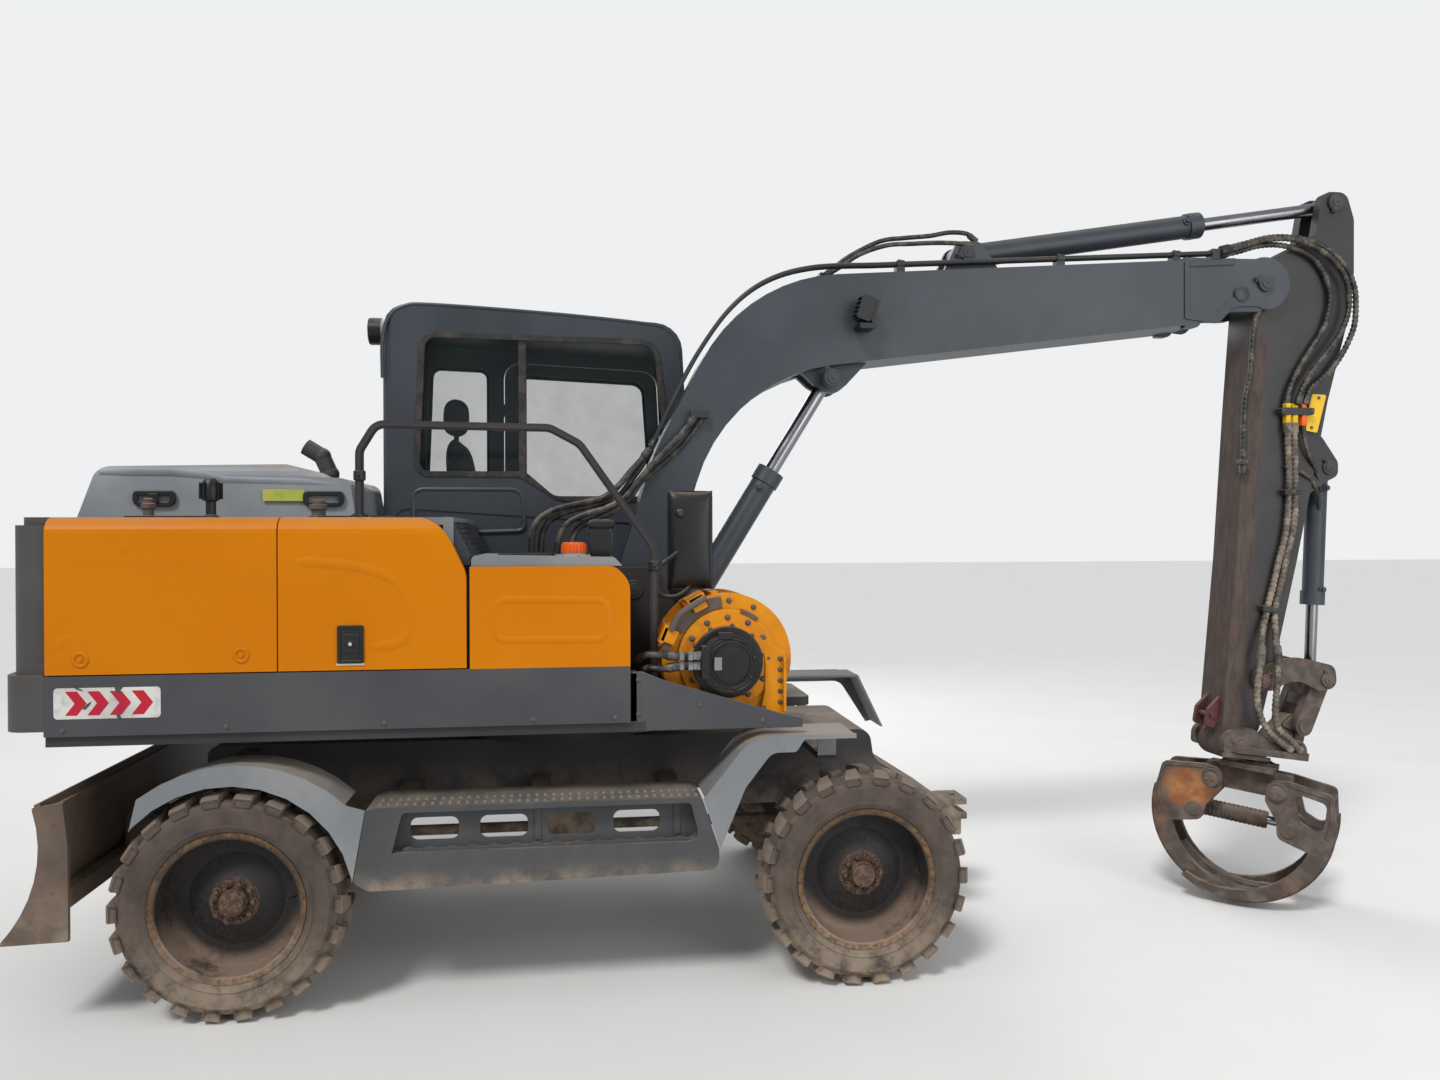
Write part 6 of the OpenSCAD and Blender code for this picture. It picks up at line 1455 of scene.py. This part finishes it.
HANGER_PLATE = [(3.24, 0.742, 0.0), (3.5, 0.708, 0.0), (3.5, 0.728, 0.0), (3.24, 0.764, 0.01)]
HANGER_HOOK = [(3.622, 0.866, 0.02), (3.682, 0.914, 0.04), (3.76, 0.902, 0.04), (3.76, 0.842, 0.03),
               (3.735, 0.735, 0.0), (3.7, 0.742, 0.0), (3.7, 0.83, 0.03), (3.66, 0.856, 0.02)]
EYELET = [(0.04 + 0.011 * cos(tau * k / 10), 0.011 * sin(tau * k / 10)) for k in range(10)]
bm = bmesh.new()
prism(bm, rounded(HANGER_PLATE), "y", -0.352, -0.3445)
prism(bm, rounded(HANGER_HOOK), "y", -0.256, -0.243)
loop_lathe(bm, at(3.668, -0.322, 0.756), (0.1, -1, 0.2), EYELET, 30)
finish_piece("hanger_plates", bm, "grapple_rust", "hanger", bevel=0.002)

# Grapple: pins, ribs and caps on the tines, the middle tine's leaf and the ribbed cylinder guard

bm = bmesh.new()
for s in (-1, 1):
    for side in (-1, 1):
        out = Vector((0, side, 0))
        spot = at(0.15 * s, side * 0.228, -0.16)
        lathe(bm, spot, out, [(0.036, -0.004), (0.036, 0.003), (0.03, 0.007), (0.01, 0.008), (0, 0.008)], 26)
        for dx in (0.016, -0.016):
            bolt(bm, spot + Vector((dx, 0, 0)) + out * 0.007, out, 0.006, 0.007)
for k in range(10):
    a = tau * k / 10
    bolt(bm, at(0.104 * cos(a), 0.104 * sin(a), -0.0448), UP, 0.007, 0.006)
seated(bm, GRAPPLE)
finish_piece("grapple_pins", bm, "grapple_rust", "grapple", look=PIN)

BOWL_Z, BOWL_R = -0.305, 0.415  # middle and radius of the closed bowl, in the flange's frame
WEAR = 286  # angle at which the wear caps begin, in degrees
EDGE_STRIP = [(-0.196, -0.104, 0.0), (-0.386, -0.128, 0.02), (-0.402, -0.238, 0.0), (-0.394, -0.33, 0.0),
              (-0.38, -0.33, 0.0), (-0.388, -0.238, 0.0), (-0.374, -0.142, 0.02), (-0.2, -0.118, 0.0)]


def on_bowl(radius, degrees):
    return radius * cos(radians(degrees)), BOWL_Z + radius * sin(radians(degrees))


def bowl_arc(start, end, radius, steps=18):
    return [on_bowl(radius, start + (end - start) * k / steps) for k in range(steps + 1)]


def jaw_trim(name, body, inner, mirror):
    """Rib along the outside of both tines, wear caps on their points, edge strips and the lugs' collars."""
    rib = bowl_arc(172, 270, BOWL_R + 0.008) + bowl_arc(172, 270, BOWL_R - 0.004)[::-1]
    cap = bowl_arc(WEAR, 303, BOWL_R + 0.006) + [on_bowl(BOWL_R - 0.036, WEAR)]
    strip = rounded(EDGE_STRIP, 3)
    bm = bmesh.new()
    for s in (-1, 1):
        for outline, near, far in ((rib, 0.01, 0.04), (cap, -0.003, 0.053), (strip, 0.048, 0.055)):
            prism(bm, outline, "y", *sorted((s * (inner + near), s * (inner + far))))
        for x, z, r in ((-0.22, -0.33, 0.03), (-0.15, -0.16, 0.042)):
            collar = [(r + 0.008, -0.002), (r + 0.006, 0.006), (r - 0.004, 0.009), (0, 0.009)]
            lathe(bm, at(x, s * (inner + 0.049), z), (0, s, 0), collar, 26)
    if mirror:
        bmesh.ops.scale(bm, vec=(-1, 1, 1), space=Matrix.Translation((SLEW_X, 0, 0)), verts=bm.verts)
    seated(bm, GRAPPLE)
    finish_piece(name, bm, "grapple_rust", body, bevel=0.0015)


jaw_trim("jaw_left_trim", "jaw_left", 0.1, False)
jaw_trim("jaw_right_trim", "jaw_right", 0.16, True)

# Leaf of the middle tine, hollowed on its inner side
bm = bmesh.new()
leaf = []
for k in range(19):
    t = k / 18
    half = 0.082 * sin(pi * min(1.0, 0.18 + 0.82 * t)) ** 0.8 + 0.004
    outer, hollow = BOWL_R - 0.01, BOWL_R - 0.03 - 0.03 * sin(pi * t)
    section = ((outer - 0.014, -1.0), (outer, -0.5), (outer + 0.002, 0.0), (outer, 0.5), (outer - 0.014, 1.0),
               (outer - 0.024, 0.9), (hollow, 0.0), (outer - 0.024, -0.9))
    spots = [(on_bowl(r, 226 + 66 * t), w * half) for r, w in section]
    leaf.append([bm.verts.new(at(x, y, z)) for (x, z), y in spots])
for a, b in zip(leaf, leaf[1:]):
    for i in range(8):
        bm.faces.new((a[i], a[(i + 1) % 8], b[(i + 1) % 8], b[i]))
bm.faces.new(leaf[0][::-1])
bm.faces.new(leaf[-1])
seated(bm, GRAPPLE)
finish_piece("jaw_left_leaf", bm, "grapple_rust", "jaw_left", 50)

bm = bmesh.new()
for k in range(15):
    rib = [(0.041, -0.006), (0.0446, -0.003), (0.0446, 0.003), (0.041, 0.006)]
    loop_lathe(bm, at(-0.196 + 0.0205 * k, 0, -0.33), (1, 0, 0), rib, 28)
lathe(bm, at(-0.13, -0.034, -0.312), (0, -1, 0.4),
      [(0.015, 0), (0.015, 0.016), (0.011, 0.018), (0.011, 0.03), (0, 0.03)], 6)
seated(bm, GRAPPLE)
finish_piece("grapple_cylinder_guard", bm, "grapple_rust", "grapple_barrel", look=PIN)

# Steps: serrated edges on the treads

TEETH = 38
STEP_X, STEP_TOP = (-0.69, 0.545), 0.7985
bm = bmesh.new()
for side in (-1, 1):
    for y in (0.985, 0.905):
        for k in range(TEETH):
            x, z = STEP_X[0] + (STEP_X[1] - STEP_X[0]) * k / (TEETH - 1), STEP_TOP
            tooth = [(x - 0.009, z), (x + 0.009, z), (x + 0.004, z + 0.006), (x - 0.004, z + 0.006)]
            prism(bm, tooth, "y", *sorted((side * (y - 0.012), side * (y + 0.012))))
finish_piece("step_serrations", bm, "worn_grey", "undercarriage")

# Undercarriage: bolts of ring and steps, brake lines on the axles, and the blade's edge

bm = bmesh.new()
bolt_ring(bm, at(0, 0, 0.93), UP, 0.462, 28, 0.0095, 0.013)
for side in (-1, 1):
    for x in (-0.64, -0.085, 0.47):
        for dx in (-0.03, 0.03):
            bolt(bm, at(x + dx, side * 0.985, 0.8), UP, 0.006, 0.007)
finish_piece("chassis_bolts", bm, "worn_grey", "undercarriage", look=BOLT)

BRAKE_LINE = ((2.4, 0.06, 0.76), (1.7, 0.11, 0.66), (1.1, 0.21, 0.575), (0.9, 0.38, 0.535), (0.8, 0.54, 0.52))
bm = bmesh.new()
for x, inward in ((AXLE_X, -0.085), (-AXLE_X, 0.085)):
    for side in (-1, 1):
        bent(bm, [(x + share * inward, side * y, z) for share, y, z in BRAKE_LINE], 0.0065)
finish_piece("brake_lines", bm, "pipe_steel", "undercarriage", look=HOSE)

FACE_MID, FACE_R = (-2.4, 0.7), 0.515


def on_blade(radius, degrees):
    return FACE_MID[0] + radius * cos(radians(degrees)), FACE_MID[1] + radius * sin(radians(degrees))


bm = bmesh.new()
edge = [on_blade(FACE_R + 0.002, a) for a in (-42.0, -39.0, -36.0, -33.0)]
edge += [on_blade(FACE_R - 0.01, a) for a in (-33.4, -36.0, -39.0, -42.0)]
prism(bm, edge, "y", -1.044, 1.044)
finish_piece("blade_edge", bm, "worn_grey", "blade", look=BOLT, bevel=0.0015)
bm = bmesh.new()
BOLT_ROW = -37.2  # angle of the row of bolts on the blade's face
x, z = on_blade(FACE_R - 0.01, BOLT_ROW)
inward = Vector((-cos(radians(BOLT_ROW)), 0, -sin(radians(BOLT_ROW))))
for k in range(9):
    bolt(bm, at(x, -0.96 + 0.24 * k, z), inward, 0.011, 0.009)
finish_piece("blade_edge_bolts", bm, "worn_grey", "blade", look=PIN)
bm = bmesh.new()
for side in (-1, 1):
    lathe(bm, at(-1.4, side * 0.322, 0.5), (0, side, 0),
          [(0.042, -0.004), (0.042, 0.003), (0.03, 0.005), (0.03, 0.01), (0, 0.011)], 24)
finish_piece("blade_pins", bm, "worn_grey", "blade", look=PIN)
